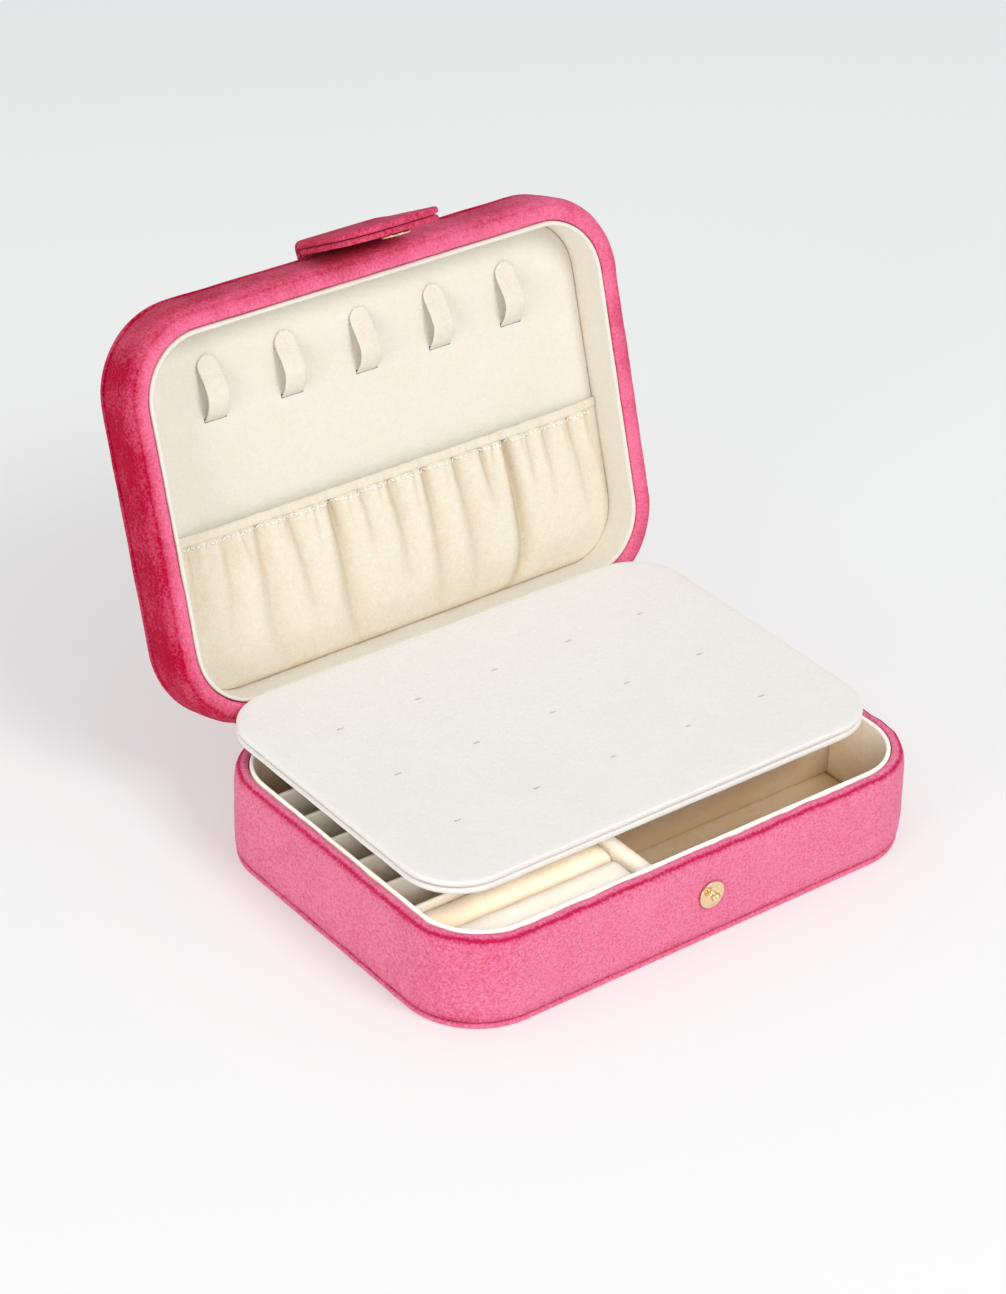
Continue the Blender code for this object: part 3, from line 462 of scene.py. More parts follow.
def foam_roll(node, shade, fuller):
    """The roll's CAD form softened. A fuller one is pressed up against the collar in front. The given tone
    is painted shade, and painted light when below nought; lower down the roll darkens as painted shade too.
    """
    bm = bmesh.new()
    bm.from_mesh(frame["nodes"][node].data)
    bmesh.ops.remove_doubles(bm, verts=bm.verts, dist=0.005 * MM)
    rough = bpy.data.meshes.new(f"{node}_rough")
    bm.to_mesh(rough)
    bm.free()
    form = bpy.data.objects.new(f"{node}_form", rough)
    bpy.context.scene.collection.objects.link(form)
    remesh = form.modifiers.new("even", "REMESH")
    remesh.mode = "VOXEL"
    remesh.voxel_size = 0.8 * MM
    smooth = form.modifiers.new("soft", "SMOOTH")
    smooth.factor = 0.5
    smooth.iterations = 12
    graph = bpy.context.evaluated_depsgraph_get()
    soft = bpy.data.meshes.new_from_object(form.evaluated_get(graph))
    bpy.data.objects.remove(form)
    low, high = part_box(node)
    bm = bmesh.new()
    bm.from_mesh(soft)
    bpy.data.meshes.remove(soft)
    tone = bm.verts.layers.float.new("tone")
    for vert in bm.verts:
        reach = (vert.co.y - low.y) / ROLL_ROUND
        if fuller and reach < 1:
            short = 1 - max(0.0, reach)
            height = high.z - low.z
            rounded = height - ROLL_ROUND * (1 - math.sqrt(1 - short ** 2))
            vert.co.z = low.z + (vert.co.z - low.z) * (height - 1.6 * MM * short ** 2) / rounded
        # Painted shade: darker further below the roll's top, added to the given tone.
        vert[tone] = shade + 0.9 * min(1.0, max(0.0, high.z - 4 * MM - vert.co.z) / (14 * MM))
    ripple(bm, 0.30 * MM, 8 * MM, shade)
    finished(bm, f"{node}_suede", lining, "base", "cream_velvet", node)


# The front roll gets painted light, its tone below nought, and the rear roll painted shade where the board
# hangs over it.
foam_roll("ring_roll_front", -0.15, True)
foam_roll("ring_roll_rear", 0.55, False)

# ---------------------------------------------------------------- snap stud and washer
# The lower half of a snap fastener, pressed from brass and plated pale gold: a dished disc with
# a rolled rim, a waist and a round head that the flap's socket grips. Its shank goes through
# the wall to a washer inside.
GOLD = (0.93, 0.76, 0.46, 1.0)


def gold_look():
    look = Look("pale_gold_plate")
    where = look.place()
    wear = look.cloud(where, 900.0, 3.0)
    lines = look.cloud(look.place((1.0, 8.0, 8.0)), 700.0, 2.0)
    colour = look.mix(wear.between(0.35, 0.75), GOLD, (0.84, 0.62, 0.34, 1.0))
    return look.shader({
        "Base Color": colour, "Metallic": 1.0, "Roughness": wear * 0.16 + 0.2,
        "Normal": look.bump(lines, 0.02 * MM, 0.35)})


gold = gold_look()


def turned(profile, closed=False):
    """Turns a profile of (radius, height) in mm about Z."""
    bm = bmesh.new()
    verts = [bm.verts.new((radius * MM, 0, height * MM)) for radius, height in profile]
    edges = [bm.edges.new(pair) for pair in zip(verts, verts[1:])]
    if closed:
        edges.append(bm.edges.new((verts[-1], verts[0])))
    bmesh.ops.spin(bm, geom=verts + edges, cent=(0, 0, 0), axis=(0, 0, 1), angle=2 * math.pi,
                   steps=64, use_merge=True)
    bmesh.ops.remove_doubles(bm, verts=bm.verts, dist=0.002 * MM)
    bmesh.ops.recalc_face_normals(bm, faces=bm.faces)
    return bm


stud_low, stud_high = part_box("snap_stud")
STUD_REACH = 3.9 * MM
STUD_PROFILE = ((0.0, -2.6), (1.2, -2.6), (1.2, 0.0), (4.4, 0.0), (4.7, 0.15), (4.8, 0.45),
                (4.72, 0.75), (4.45, 0.9), (4.15, 0.86), (3.85, 0.66), (3.3, 0.52), (2.4, 0.5),
                (1.9, 0.56), (1.45, 0.72), (1.15, 0.95), (1.0, 1.25), (1.08, 1.5), (1.32, 1.72),
                (1.55, 2.0), (1.65, 2.3), (1.62, 2.7), (1.45, 3.1), (1.15, 3.45), (0.75, 3.7),
                (0.35, 3.83), (0.0, 3.87))
stud = turned(STUD_PROFILE)
stud_middle = (stud_low + stud_high) / 2
bmesh.ops.rotate(stud, cent=(0, 0, 0), matrix=Matrix.Rotation(math.pi / 2, 3, "X"),
                 verts=stud.verts)
bmesh.ops.translate(stud, verts=stud.verts,
                    vec=(stud_middle.x, stud_low.y + STUD_REACH, stud_middle.z))
finished(stud, "snap_stud_gold", gold, "base", "gold_snap", "snap_stud")
frame["nodes"]["stud_washer"].data.materials.clear()
frame["nodes"]["stud_washer"].data.materials.append(gold)

# ---------------------------------------------------------------- lid wall
# The lid's side: velvet over foam on a bent board, 16 mm deep, its nap laid another way than the base's. The
# darker look of that nap is painted into its colours as shade.
# Its padded rim has a flat inner band, a welt line and an outer band that rolls into the side.
# Every piece of the lid is shaped with the lid shut, and then turned open about the hinge.
lid_hinge = next(joint for joint in frame["joints"] if joint["name"] == "lid_hinge")
HINGE = Vector(lid_hinge["pos_m"])
OPENING = Matrix.Rotation(math.radians(lid_hinge["range_deg"][0]), 3, "X")
LID_HALF_X = 97.2 * MM
LID_HALF_Y = 69.4 * MM
LID_RADIUS = 29.0 * MM
LID_TOP = 52.4 * MM


def open_up(bm):
    bmesh.ops.rotate(bm, cent=HINGE, matrix=OPENING, verts=bm.verts)
    return bm


# Painted shade: the lid's velvet has a darker deep colour than the base's, for the look of its nap.
lid_velvet = velvet("lid_velvet", paint(250, 122, 160), paint(184, 2, 52), 0.4, 0.36, 0.06)
# The third number is painted shade: light on the rim's flat inner band, darker in the welt line and on the
# side, and darkest under the panel's edge.
LID_PROFILE = ((-7.4, 49.7, 0.4), (-7.4, 42.0, 0.4), (-7.4, 34.7, 0.2), (-7.2, 34.1, 0.0),
               (-6.75, 33.8, -0.1), (-6.0, 33.68, -0.06), (-5.0, 33.64, 0.06), (-4.0, 33.68, 0.18),
               (-3.2, 33.78, 0.3), (-2.75, 33.92, 0.42), (-2.45, 34.08, 0.58), (-2.2, 34.14, 0.64),
               (-1.9, 34.14, 0.58), (-1.5, 34.4, 0.5), (-0.95, 34.98, 0.5), (-0.4, 36.1, 0.56),
               (-0.05, 37.6, 0.64), (0.1, 40.0, 0.7), (0.1, 42.5, 0.72), (0.1, 45.0, 0.72),
               (0.05, 47.4, 0.76), (-0.15, 48.8, 0.9), (-0.6, 49.7, 1.0))
lid_wall = swept(LID_HALF_X, LID_HALF_Y, LID_RADIUS, LID_PROFILE, step=1.6 * MM, corner_steps=28)
for vert in lid_wall.verts:
    near_welt = max(0.0, 1 - abs(vert.co.z - 34.0 * MM) / (1.6 * MM))
    vert.co.z += near_welt * 0.3 * MM * noise.noise(vert.co / (8 * MM))
ripple(lid_wall, 0.18 * MM, 8 * MM, 1.0)
ripple(lid_wall, 0.06 * MM, 2.6 * MM, 4.0)
tone = lid_wall.verts.layers.float["tone"]
# Painted shade and painted light: the lid's left side is made darker and its right side and front lighter,
# scaled by the tone already there.
for vert in lid_wall.verts:
    across = vert.co.x / LID_HALF_X
    to_right = max(0.0, min(1.0, (across - 0.55) / 0.4))
    to_left = max(0.0, min(1.0, (-across - 0.55) / 0.4))
    to_front = max(0.0, min(1.0, (-vert.co.y / LID_HALF_Y - 0.6) / 0.35))
    vert[tone] += (0.24 * to_left - 0.34 * to_right - 0.14 * to_front) * min(1.0, vert[tone] * 2)
finished(open_up(lid_wall), "lid_wall_velvet", lid_velvet, "lid", "pink_velvet", "lid_wall")

# ---------------------------------------------------------------- lid top panel
# The outside of the lid: a board padded with thin foam under velvet, slightly crowned, glued
# over the wall's end with a narrow crease all round.
# Painted shade: darker in the crease round the panel's edge than on its crown.
PANEL_PROFILE = ((-27.0, 50.0, 0.9), (-1.2, 50.0, 1.0), (-0.5, 50.15, 0.95), (-0.12, 50.5, 0.8),
                 (0.0, 51.0, 0.74), (-0.15, 51.5, 0.7), (-0.6, 51.95, 0.66),
                 (-1.6, 52.25, 0.62), (-4.0, 52.36, 0.6), (-9.0, 52.4, 0.6),
                 (-17.0, 52.4, 0.6), (-27.5, 52.4, 0.6))
panel = swept(LID_HALF_X, LID_HALF_Y, LID_RADIUS, PANEL_PROFILE, closed=False, corner_steps=20)
ripple(panel, 0.15 * MM, 9 * MM, 2.0)
finished(open_up(panel), "lid_panel_velvet", lid_velvet, "lid", "pink_velvet", "lid_top_panel")

# ---------------------------------------------------------------- lid lining collar
# A strip of card in cream suede cloth, bent round inside the lid's rim and glued, with a
# rounded edge flush with the rim.
# Painted shade: darker as the collar's faces run in towards the lid's top panel.
LID_COLLAR_PROFILE = ((-7.7, 49.7, 0.5), (-7.7, 42.0, 0.2), (-7.7, 34.5, 0.1), (-7.78, 34.05, 0.0),
                      (-8.02, 33.72, 0.0), (-8.45, 33.6, 0.0), (-8.88, 33.72, 0.0),
                      (-9.12, 34.05, 0.0), (-9.2, 34.5, 0.0), (-9.2, 38.0, 0.0),
                      (-9.2, 42.0, 0.0), (-9.2, 45.5, 0.05), (-9.2, 47.6, 0.3), (-9.2, 49.7, 0.6))
lid_lining = suede("lid_lining", paint(235, 231, 221), paint(220, 198, 164), 0.12)
lid_collar = swept(LID_HALF_X, LID_HALF_Y, LID_RADIUS, LID_COLLAR_PROFILE, corner_steps=20)
ripple(lid_collar, 0.12 * MM, 8 * MM, 7.0)
finished(open_up(lid_collar), "lid_collar_suede", lid_lining, "lid", "cream_velvet", "lid_collar")

# ---------------------------------------------------------------- lid lining board
# A padded board in cream suede cloth that fills the lid. The pocket is tucked round its lower
# edge, and the necklace tabs come through slits in it.
BOARD_FACE = 48.1 * MM
LINING_HALF_X = 87.7 * MM
LINING_HALF_Y = 59.9 * MM
LINING_RADIUS = 19.5 * MM
# Painted shade: the board's rounded edge and its back are darker, where it meets the collar.
LINING_PROFILE = ((-17.5, 49.7, 0.5), (-0.6, 49.7, 0.8), (0.0, 49.5, 0.8), (0.2, 49.0, 0.6),
                  (0.22, 48.6, 0.4), (0.12, 48.3, 0.25), (-0.4, 48.12, 0.08),
                  (-4.0, 48.1, 0.0), (-10.0, 48.1, 0.0), (-18.0, 48.1, 0.0))
TAB_PITCH = 29.6 * MM
TAB_LENGTH = 21.4 * MM
TAB_FOOT = 10.3 * MM + TAB_LENGTH - LINING_HALF_Y
SLOT_HALF = Vector((4.3, 0.75, 10.0)) * MM


def cut_through(piece, tool, body, node):
    """Takes the tool's form out of a piece, and then lets it ride on its body."""
    form = bpy.data.meshes.new("tool")
    tool.to_mesh(form)
    tool.free()
    cutter = bpy.data.objects.new("tool", form)
    bpy.context.scene.collection.objects.link(cutter)
    piece.modifiers.new("cut", "BOOLEAN").object = cutter
    graph = bpy.context.evaluated_depsgraph_get()
    mesh = bpy.data.meshes.new_from_object(piece.evaluated_get(graph))
    piece.modifiers.clear()
    mesh.set_sharp_from_angle(angle=math.radians(30))
    piece.data = mesh
    bpy.data.objects.remove(cutter)
    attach(piece, body)
    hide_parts(node)


lining_board = swept(LINING_HALF_X, LINING_HALF_Y, LINING_RADIUS, LINING_PROFILE, closed=False)
lining_board = finished(open_up(lining_board), "lid_lining_suede", lid_lining, None, "cream_velvet")
tab_slots = bmesh.new()
for column in (-2, -1, 0, 1, 2):
    made = bmesh.ops.create_cube(tab_slots, size=2.0)["verts"]
    bmesh.ops.scale(tab_slots, vec=SLOT_HALF, verts=made)
    bmesh.ops.translate(tab_slots, vec=(column * TAB_PITCH, TAB_FOOT - 0.3 * MM, BOARD_FACE),
                        verts=made)
cut_through(lining_board, open_up(tab_slots), "lid", "lid_lining_board")

# ---------------------------------------------------------------- necklace tabs
# Five tabs of doubled cream cloth, 22 mm long. Each comes out of a slit at its lower end, bows
# out so that a chain hangs behind it, and lies back on the lining at its round free end.
TAB_BULGE = 3.9 * MM
TAB_WIDTH = 8.6 * MM
TAB_THICKNESS = 1.0 * MM
TAB_SHAPE = ((0.0, -0.42), (0.02, -0.15), (0.15, 0.56), (0.36, 1.0), (0.55, 0.76), (0.73, 0.28),
             (0.87, 0.0), (1.0, 0.0))


def smooth_path(points, steps):
    """A smooth curve through a few flat points."""
    ends = [points[0], *points, points[-1]]
    path = []
    for before, start, end, after in zip(ends, ends[1:], ends[2:], ends[3:]):
        for step in range(steps):
            t = step / steps
            path.append([0.5 * (2 * b + (c - a) * t + (2 * a - 5 * b + 4 * c - d) * t ** 2
                                + (3 * b - a - 3 * c + d) * t ** 3)
                         for a, b, c, d in zip(before, start, end, after)])
    path.append(list(points[-1]))
    return path


def solid_cloth(piece, thickness, levels=1):
    """Gives a sheet its thickness, half on either side, and rounds it."""
    wall = piece.modifiers.new("thickness", "SOLIDIFY")
    wall.thickness = thickness
    wall.offset = 0.0
    if levels:
        soft = piece.modifiers.new("soft", "SUBSURF")
        soft.levels = levels
        soft.render_levels = levels


tab_cloth = suede("tab_cloth", paint(237, 232, 221), paint(202, 174, 136), 0.10)
for index in range(5):
    path = smooth_path([(TAB_LENGTH * along, TAB_BULGE * out) for along, out in TAB_SHAPE], 4)
    tab = bmesh.new()
    tone = tab.verts.layers.float.new("tone")
    bmesh.ops.create_grid(tab, x_segments=6, y_segments=len(path) - 1, size=1.0)
    for vert in tab.verts:
        along, out = path[round((vert.co.y + 1) / 2 * (len(path) - 1))]
        past = max(0.0, along - TAB_LENGTH + TAB_WIDTH / 2)
        half = math.sqrt(max((TAB_WIDTH / 2) ** 2 - past ** 2, (1.2 * MM) ** 2)) - 0.2 * MM
        across = vert.co.x
        lift = out + TAB_THICKNESS / 2
        sway = 0.3 * MM * noise.noise(Vector((index * 3.1, along / (9 * MM), 0.0)))
        vert.co = Vector(((index - 2) * TAB_PITCH + across * half + sway, TAB_FOOT - along,
                          BOARD_FACE - 0.3 * MM - lift))
        # Painted shadow: the tab darkens over its last 2 mm, where it goes into the slit.
        vert[tone] = 0.05 + 0.3 * max(0.0, 1 - along / (2 * MM))
    bmesh.ops.reverse_faces(tab, faces=tab.faces)
    node = f"necklace_hook_{index + 1}"
    tab = finished(open_up(tab), f"necklace_tab_{index + 1}", tab_cloth, node, "cream_velvet", node)
    solid_cloth(tab, TAB_THICKNESS * 0.85)

# ---------------------------------------------------------------- ruched pocket
# A wide piece of thin cream cloth, gathered along its mouth on a flat elastic and tucked round
# the lining board's lower edge. Its fullness falls from the gathers in long soft folds.
POCKET_HEIGHT = 54.0 * MM
POCKET_TOP = 5.3 * MM
POCKET_FOOT = 60.08 * MM
POCKET_SIDE = 0.18 * MM
BAND_HEIGHT = 3.4 * MM
MOUTH_OUT = 3.0 * MM
BELLY_OUT = 4.8 * MM
# across -1..1, width in shares of the half width, depth in mm, how far down, lean to the right
MAIN_FOLDS = ((-0.89, 0.020, 1.3, 0.9, -0.03), (-0.74, 0.024, 1.2, 0.8, -0.05),
              (-0.61, 0.028, 1.5, 1.2, 0.01), (-0.47, 0.022, 1.4, 0.8, 0.08),
              (-0.28, 0.026, 2.1, 1.3, 0.03), (-0.14, 0.020, 1.0, 0.5, 0.04),
              (-0.01, 0.024, 1.5, 0.8, 0.05), (0.15, 0.024, 1.7, 1.1, 0.02),
              (0.29, 0.026, 1.5, 1.1, 0.06), (0.41, 0.020, 1.3, 0.5, 0.08),
              (0.53, 0.020, 2.9, 1.5, 0.03), (0.64, 0.018, 1.0, 0.5, 0.0),
              (0.72, 0.022, 1.1, 0.6, 0.04), (0.84, 0.020, 1.3, 0.7, 0.08),
              (0.95, 0.018, 0.9, 0.5, 0.06))
draw = random.Random(17)
small_folds = []
at = -0.96
while at < 0.96:
    small_folds.append((at, draw.uniform(0.010, 0.016), draw.uniform(0.3, 0.8),
                        draw.uniform(0.14, 0.38), draw.uniform(-0.03, 0.05)))
    at += draw.uniform(0.028, 0.055)


def pocket_half_width(y):
    """Half the pocket's width, just past the lining board's edge, where it is tucked in."""
    corner = LINING_HALF_Y - LINING_RADIUS
    reach = LINING_RADIUS + POCKET_SIDE
    inward = max(0.0, y - corner)
    return LINING_HALF_X - LINING_RADIUS + math.sqrt(max(reach ** 2 - inward ** 2, 0.0))


def fold_depth(across, down):
    """How far in the gathers draw the cloth here, in mm."""
    depth_here = 0.0
    for centre, width, depth, reach, lean in (*MAIN_FOLDS, *small_folds):
        off = (across - centre - lean * down) / (width * (1 + 1.3 * down))
        if abs(off) < 3.5:
            fade = max(0.0, 1 - (down / reach) ** 1.5)
            depth_here += depth * fade * math.exp(-off * off * (1.6 if off < 0 else 0.6))
    return depth_here


def pocket_point(across, down, lift):
    """A point on the pocket in the shut lid, lifted off its middle sheet."""
    mouth = MOUTH_OUT + (BELLY_OUT - MOUTH_OUT) * math.sin(min(down * 2.2, 1.0) * math.pi / 2)
    belly = mouth * math.sqrt(max(1 - max(down - 0.35, 0.0) ** 2 / 0.65 ** 2, 0.0))
    side = max(1 - abs(across) ** 8, 0.0)
    seat = 0.6 * MM
    start = min(1.0, 0.15 + down / 0.1)
    end = min(1.0, max(0.0, 1 - down) / 0.2)
    folds = (1.2 - 1.5 * fold_depth(across, down)) * start * end * MM
    stand = max(seat, seat + (max(belly - seat, 0.0) + folds) * side)
    y = POCKET_TOP + (POCKET_FOOT - POCKET_TOP) * down
    return Vector((across * pocket_half_width(y), y, BOARD_FACE - stand - lift))


pocket_cloth = suede("pocket_cloth", paint(239, 233, 217), paint(200, 172, 126), 0.08, 0.15)
pocket = bmesh.new()
pocket_painted_shade = pocket.verts.layers.float.new("tone")
bmesh.ops.create_grid(pocket, x_segments=300, y_segments=54, size=1.0)
band_end = (BAND_HEIGHT - 0.5 * MM) / POCKET_HEIGHT
for vert in pocket.verts:
    across = vert.co.x
    down = band_end + (1 - band_end) * (vert.co.y + 1) / 2
    vert.co = pocket_point(across, down, 0.0)
    # Painted shade: darker in the folds' hollows and on one flank of each fold, and over the last 5 % at the
    # foot where the cloth is tucked under.
    slope = fold_depth(across + 0.004, down) - fold_depth(across - 0.004, down)
    shade = 0.2 * fold_depth(across, down) + 0.8 * max(0.0, slope)
    vert[pocket_painted_shade] = min(0.75, shade) + 0.3 * max(0.0, down - 0.95) / 0.05
bmesh.ops.reverse_faces(pocket, faces=pocket.faces)
pocket = finished(open_up(pocket), "pocket_ruched_cloth", pocket_cloth, "lid", "cream_velvet",
                  "pocket")
solid_cloth(pocket, 0.5 * MM, 0)

# The elastic: a flat band, 3.4 mm high, cased in the same cloth, with the fine upright ribs of
# its gathers. It ends at the lining board's edges, where it is tucked in with the pocket.
band = bmesh.new()
band_tone = band.verts.layers.float.new("tone")
BAND_SECTION = ((0.0, -0.35), (0.02, 0.35), (0.3, 0.72), (1.0, 0.85), (1.7, 0.8), (2.4, 0.85),
                (3.1, 0.72), (3.38, 0.35), (3.4, -0.35), (2.4, -0.7), (1.0, -0.7))
BAND_STEPS = 220
rings = []
for step in range(BAND_STEPS + 1):
    across = -1 + 2 * step / BAND_STEPS
    wave = 0.16 * MM * noise.noise(Vector((across * 24, 0.3, 0.0)))
    rib = 0.12 * math.sin(across * 260 + 3 * noise.noise(Vector((across * 30, 5.0, 0.0))))
    ring = []
    for height, out in BAND_SECTION:
        place = pocket_point(across, 0.0, (out + (rib if out > 0.5 else 0.0)) * MM)
        vert = band.verts.new(place + Vector((0.0, height * MM + wave, 0.0)))
        vert[band_tone] = 0.1
        ring.append(vert)
    rings.append(ring)
loops = [[band.edges.new((ring[i], ring[(i + 1) % len(ring)])) for i in range(len(ring))]
         for ring in rings]
for first, second in zip(loops, loops[1:]):
    bmesh.ops.bridge_loops(band, edges=first + second)
for ends in (loops[0], loops[-1]):
    bmesh.ops.contextual_create(band, geom=ends)
bmesh.ops.recalc_face_normals(band, faces=band.faces)
band = finished(open_up(band), "pocket_elastic_cloth", pocket_cloth, "lid", "cream_velvet",
                "pocket_elastic_band")

# The stitching: a zig-zag of white thread that holds the cloth to the elastic, just below the
# band. Each stitch is a short round length of thread that dips in at both ends.
thread_look = Look("white_thread")
twist = thread_look.cloud(thread_look.place(), 2400.0, 1.0)
thread = thread_look.shader({
    "Base Color": thread_look.mix(twist, paint(255, 254, 250), paint(244, 240, 230)),
    "Roughness": twist * 0.2 + 0.5})
STITCHES = 104
stitching = bmesh.new()
for step in range(STITCHES):
    ends = []
    for corner in (step, step + 1):
        across = -0.965 + 1.93 * corner / STITCHES + draw.uniform(-0.0012, 0.0012)
        down = (3.5 + (1.3 if corner % 2 else 0.1) + draw.uniform(-0.12, 0.12)) * MM
        ends.append(pocket_point(across, down / POCKET_HEIGHT, 0.42 * MM))
    middle = (ends[0] + ends[1]) / 2
    direction = ends[1] - ends[0]
    made = bmesh.ops.create_cone(stitching, cap_ends=True, segments=6, radius1=0.26 * MM,
                                 radius2=0.26 * MM, depth=direction.length * 0.86)["verts"]
    turn = direction.to_track_quat("Z", "Y").to_matrix()
    bmesh.ops.rotate(stitching, cent=(0, 0, 0), matrix=turn, verts=made)
    bmesh.ops.translate(stitching, vec=middle, verts=made)
stitching = finished(open_up(stitching), "pocket_stitching", thread, "lid", "cream_velvet")

# ---------------------------------------------------------------- closing flap
# Two boards in velvet glued face to face, 36 by 42 mm, with a narrow seam between them and
# round corners at the tip. A velvet strip glued over its root and on the lid's top hinges it.
flap_joint = next(joint for joint in frame["joints"] if joint["name"] == "flap_hinge")
FLAP_AXIS = Vector(flap_joint["pos_m"])
FLAP_OPEN_ANGLE = 11.0
FLAP_TURN = OPENING @ Matrix.Rotation(math.radians(-FLAP_OPEN_ANGLE), 3, "X")
FLAP_HALF = 18.0 * MM
FLAP_TIP = 42.0 * MM
FLAP_FACE = 4.6 * MM
FLAP_ROOT = 0.6 * MM
TIP_ROUND = 10.0 * MM
ROOT_ROUND = 5.0 * MM
SNAP_X = 0.8 * MM
SNAP_DOWN = 34.0 * MM
HOLE_RADIUS = 3.3 * MM


def on_flap(bm):
    """Takes a piece shaped in front of the flap's hinge line to its place."""
    bmesh.ops.rotate(bm, cent=(0, 0, 0), matrix=FLAP_TURN, verts=bm.verts)
    bmesh.ops.translate(bm, vec=FLAP_AXIS, verts=bm.verts)
    return bm


def flap_board(inset, near, far):
    """A padded board in the flap's outline, between two distances in front of its hinge line."""
    bm = bmesh.new()
    half = FLAP_HALF - inset
    corners = ((half - TIP_ROUND + inset, -FLAP_TIP + TIP_ROUND, TIP_ROUND - inset, -90, 12),
               (half - ROOT_ROUND + inset, -FLAP_ROOT - ROOT_ROUND, ROOT_ROUND - inset, 0, 5))
    right = []
    for x, z, radius, first, steps in corners:
        for step in range(steps + 1):
            angle = math.radians(first + 90 * step / steps)
            right.append((x + radius * math.cos(angle), z + radius * math.sin(angle)))
    outline = right + [(-x, z) for x, z in reversed(right)]
    face = bm.faces.new([bm.verts.new((x, -near, z)) for x, z in outline])
    made = bmesh.ops.extrude_face_region(bm, geom=[face])["geom"]
    moved = [item for item in made if isinstance(item, bmesh.types.BMVert)]
    bmesh.ops.translate(bm, vec=(0, near - far, 0), verts=moved)
    bmesh.ops.recalc_face_normals(bm, faces=bm.faces)
    rims = [edge for edge in bm.edges
            if abs(edge.verts[0].co.y - edge.verts[1].co.y) < 0.01 * MM]
    bmesh.ops.bevel(bm, geom=rims, affect="EDGES", offset=0.9 * MM, segments=5, profile=0.5,
                    material=-1)
    for _ in range(3):
        caps = [face for face in bm.faces if abs(face.normal.y) > 0.999 and len(face.verts) > 8]
        bmesh.ops.inset_individual(bm, faces=caps, thickness=2.2 * MM, depth=0.05 * MM)
    tone = bm.verts.layers.float.new("tone")
    for vert in bm.verts:
        vert[tone] = 0.6
    return bm


flap_velvet = velvet("flap_velvet", paint(250, 112, 152), paint(184, 4, 54), 0.3, 0.5, 0.06)
outer = flap_board(0.0, 2.4 * MM, FLAP_FACE)
ripple(outer, 0.12 * MM, 6 * MM, 1.0)
finished(on_flap(outer), "flap_outer_velvet", flap_velvet, "flap", "pink_velvet", "flap_outer")
inner = flap_board(0.4 * MM, 0.2 * MM, 2.1 * MM)
ripple(inner, 0.12 * MM, 6 * MM, 2.0)
inner = finished(on_flap(inner), "flap_inner_velvet", flap_velvet, None, "pink_velvet")
hole = bmesh.new()
bmesh.ops.create_cone(hole, cap_ends=True, segments=40, radius1=HOLE_RADIUS,
                      radius2=HOLE_RADIUS, depth=8 * MM, matrix=Matrix.Rotation(math.pi / 2, 4, "X"))
bmesh.ops.translate(hole, vec=(SNAP_X, -1.0 * MM, -SNAP_DOWN), verts=hole.verts)
cut_through(inner, on_flap(hole), "flap", "flap_inner")

# The socket: the upper half of the snap fastener, a gold ring with a rolled edge round a hole,
# set into the flap's inner board.
SOCKET_PROFILE = ((2.2, -1.0), (2.45, -1.1), (2.9, -1.02), (3.4, -0.86), (4.1, -0.9),
                  (4.5, -1.05), (4.78, -0.95), (4.9, -0.7), (4.82, -0.42), (4.5, -0.3),
                  (3.1, -0.3), (3.1, 1.6), (2.2, 1.6), (2.1, 0.4), (2.05, 0.0), (2.1, -0.6))
socket = turned(SOCKET_PROFILE, closed=True)
bmesh.ops.rotate(socket, cent=(0, 0, 0), matrix=Matrix.Rotation(math.pi / 2, 3, "X"),
                 verts=socket.verts)
bmesh.ops.translate(socket, vec=(SNAP_X, -0.2 * MM, -SNAP_DOWN), verts=socket.verts)
finished(on_flap(socket), "snap_socket_gold", gold, "flap", "gold_snap", "snap_socket")

# ---------------------------------------------------------------- earring board
# Two padded boards in cream suede cloth glued back to back, 178 by 123 mm, with a fine seam
# round the edge between them. Fifteen short slits in rows of five take earring posts.
board_low, board_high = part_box("earring_board_base")
board_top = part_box("earring_board_top")[1].z
BOARD_MIDDLE_Y = (board_low.y + board_high.y) / 2
BOARD_RADIUS = 19.6 * MM
LAYER = 2.35                          # one board's thickness, mm
SLIT_X = -0.5 * MM
SLIT_Y = -1.2 * MM
SLIT_PITCH_X = 30.6 * MM
SLIT_PITCH_Y = 31.0 * MM

slits = bmesh.new()
for row in (-1, 0, 1):
    for column in (-2, -1, 0, 1, 2):
        made = bmesh.ops.create_cone(slits, cap_ends=True, segments=12, radius1=1.0,
                                     radius2=1.0, depth=20 * MM)["verts"]
        for vert in made:
            bend = 0.16 * MM * (1 - vert.co.x ** 2)
            vert.co.y = vert.co.y * 0.52 * MM + bend
            vert.co.x *= 1.45 * MM
        centre = (SLIT_X + column * SLIT_PITCH_X, BOARD_MIDDLE_Y + SLIT_Y + row * SLIT_PITCH_Y,
                  board_top)
        bmesh.ops.translate(slits, vec=centre, verts=made)

board_suede = suede("board_suede", paint(245, 243, 240), paint(222, 212, 198), 0.08)


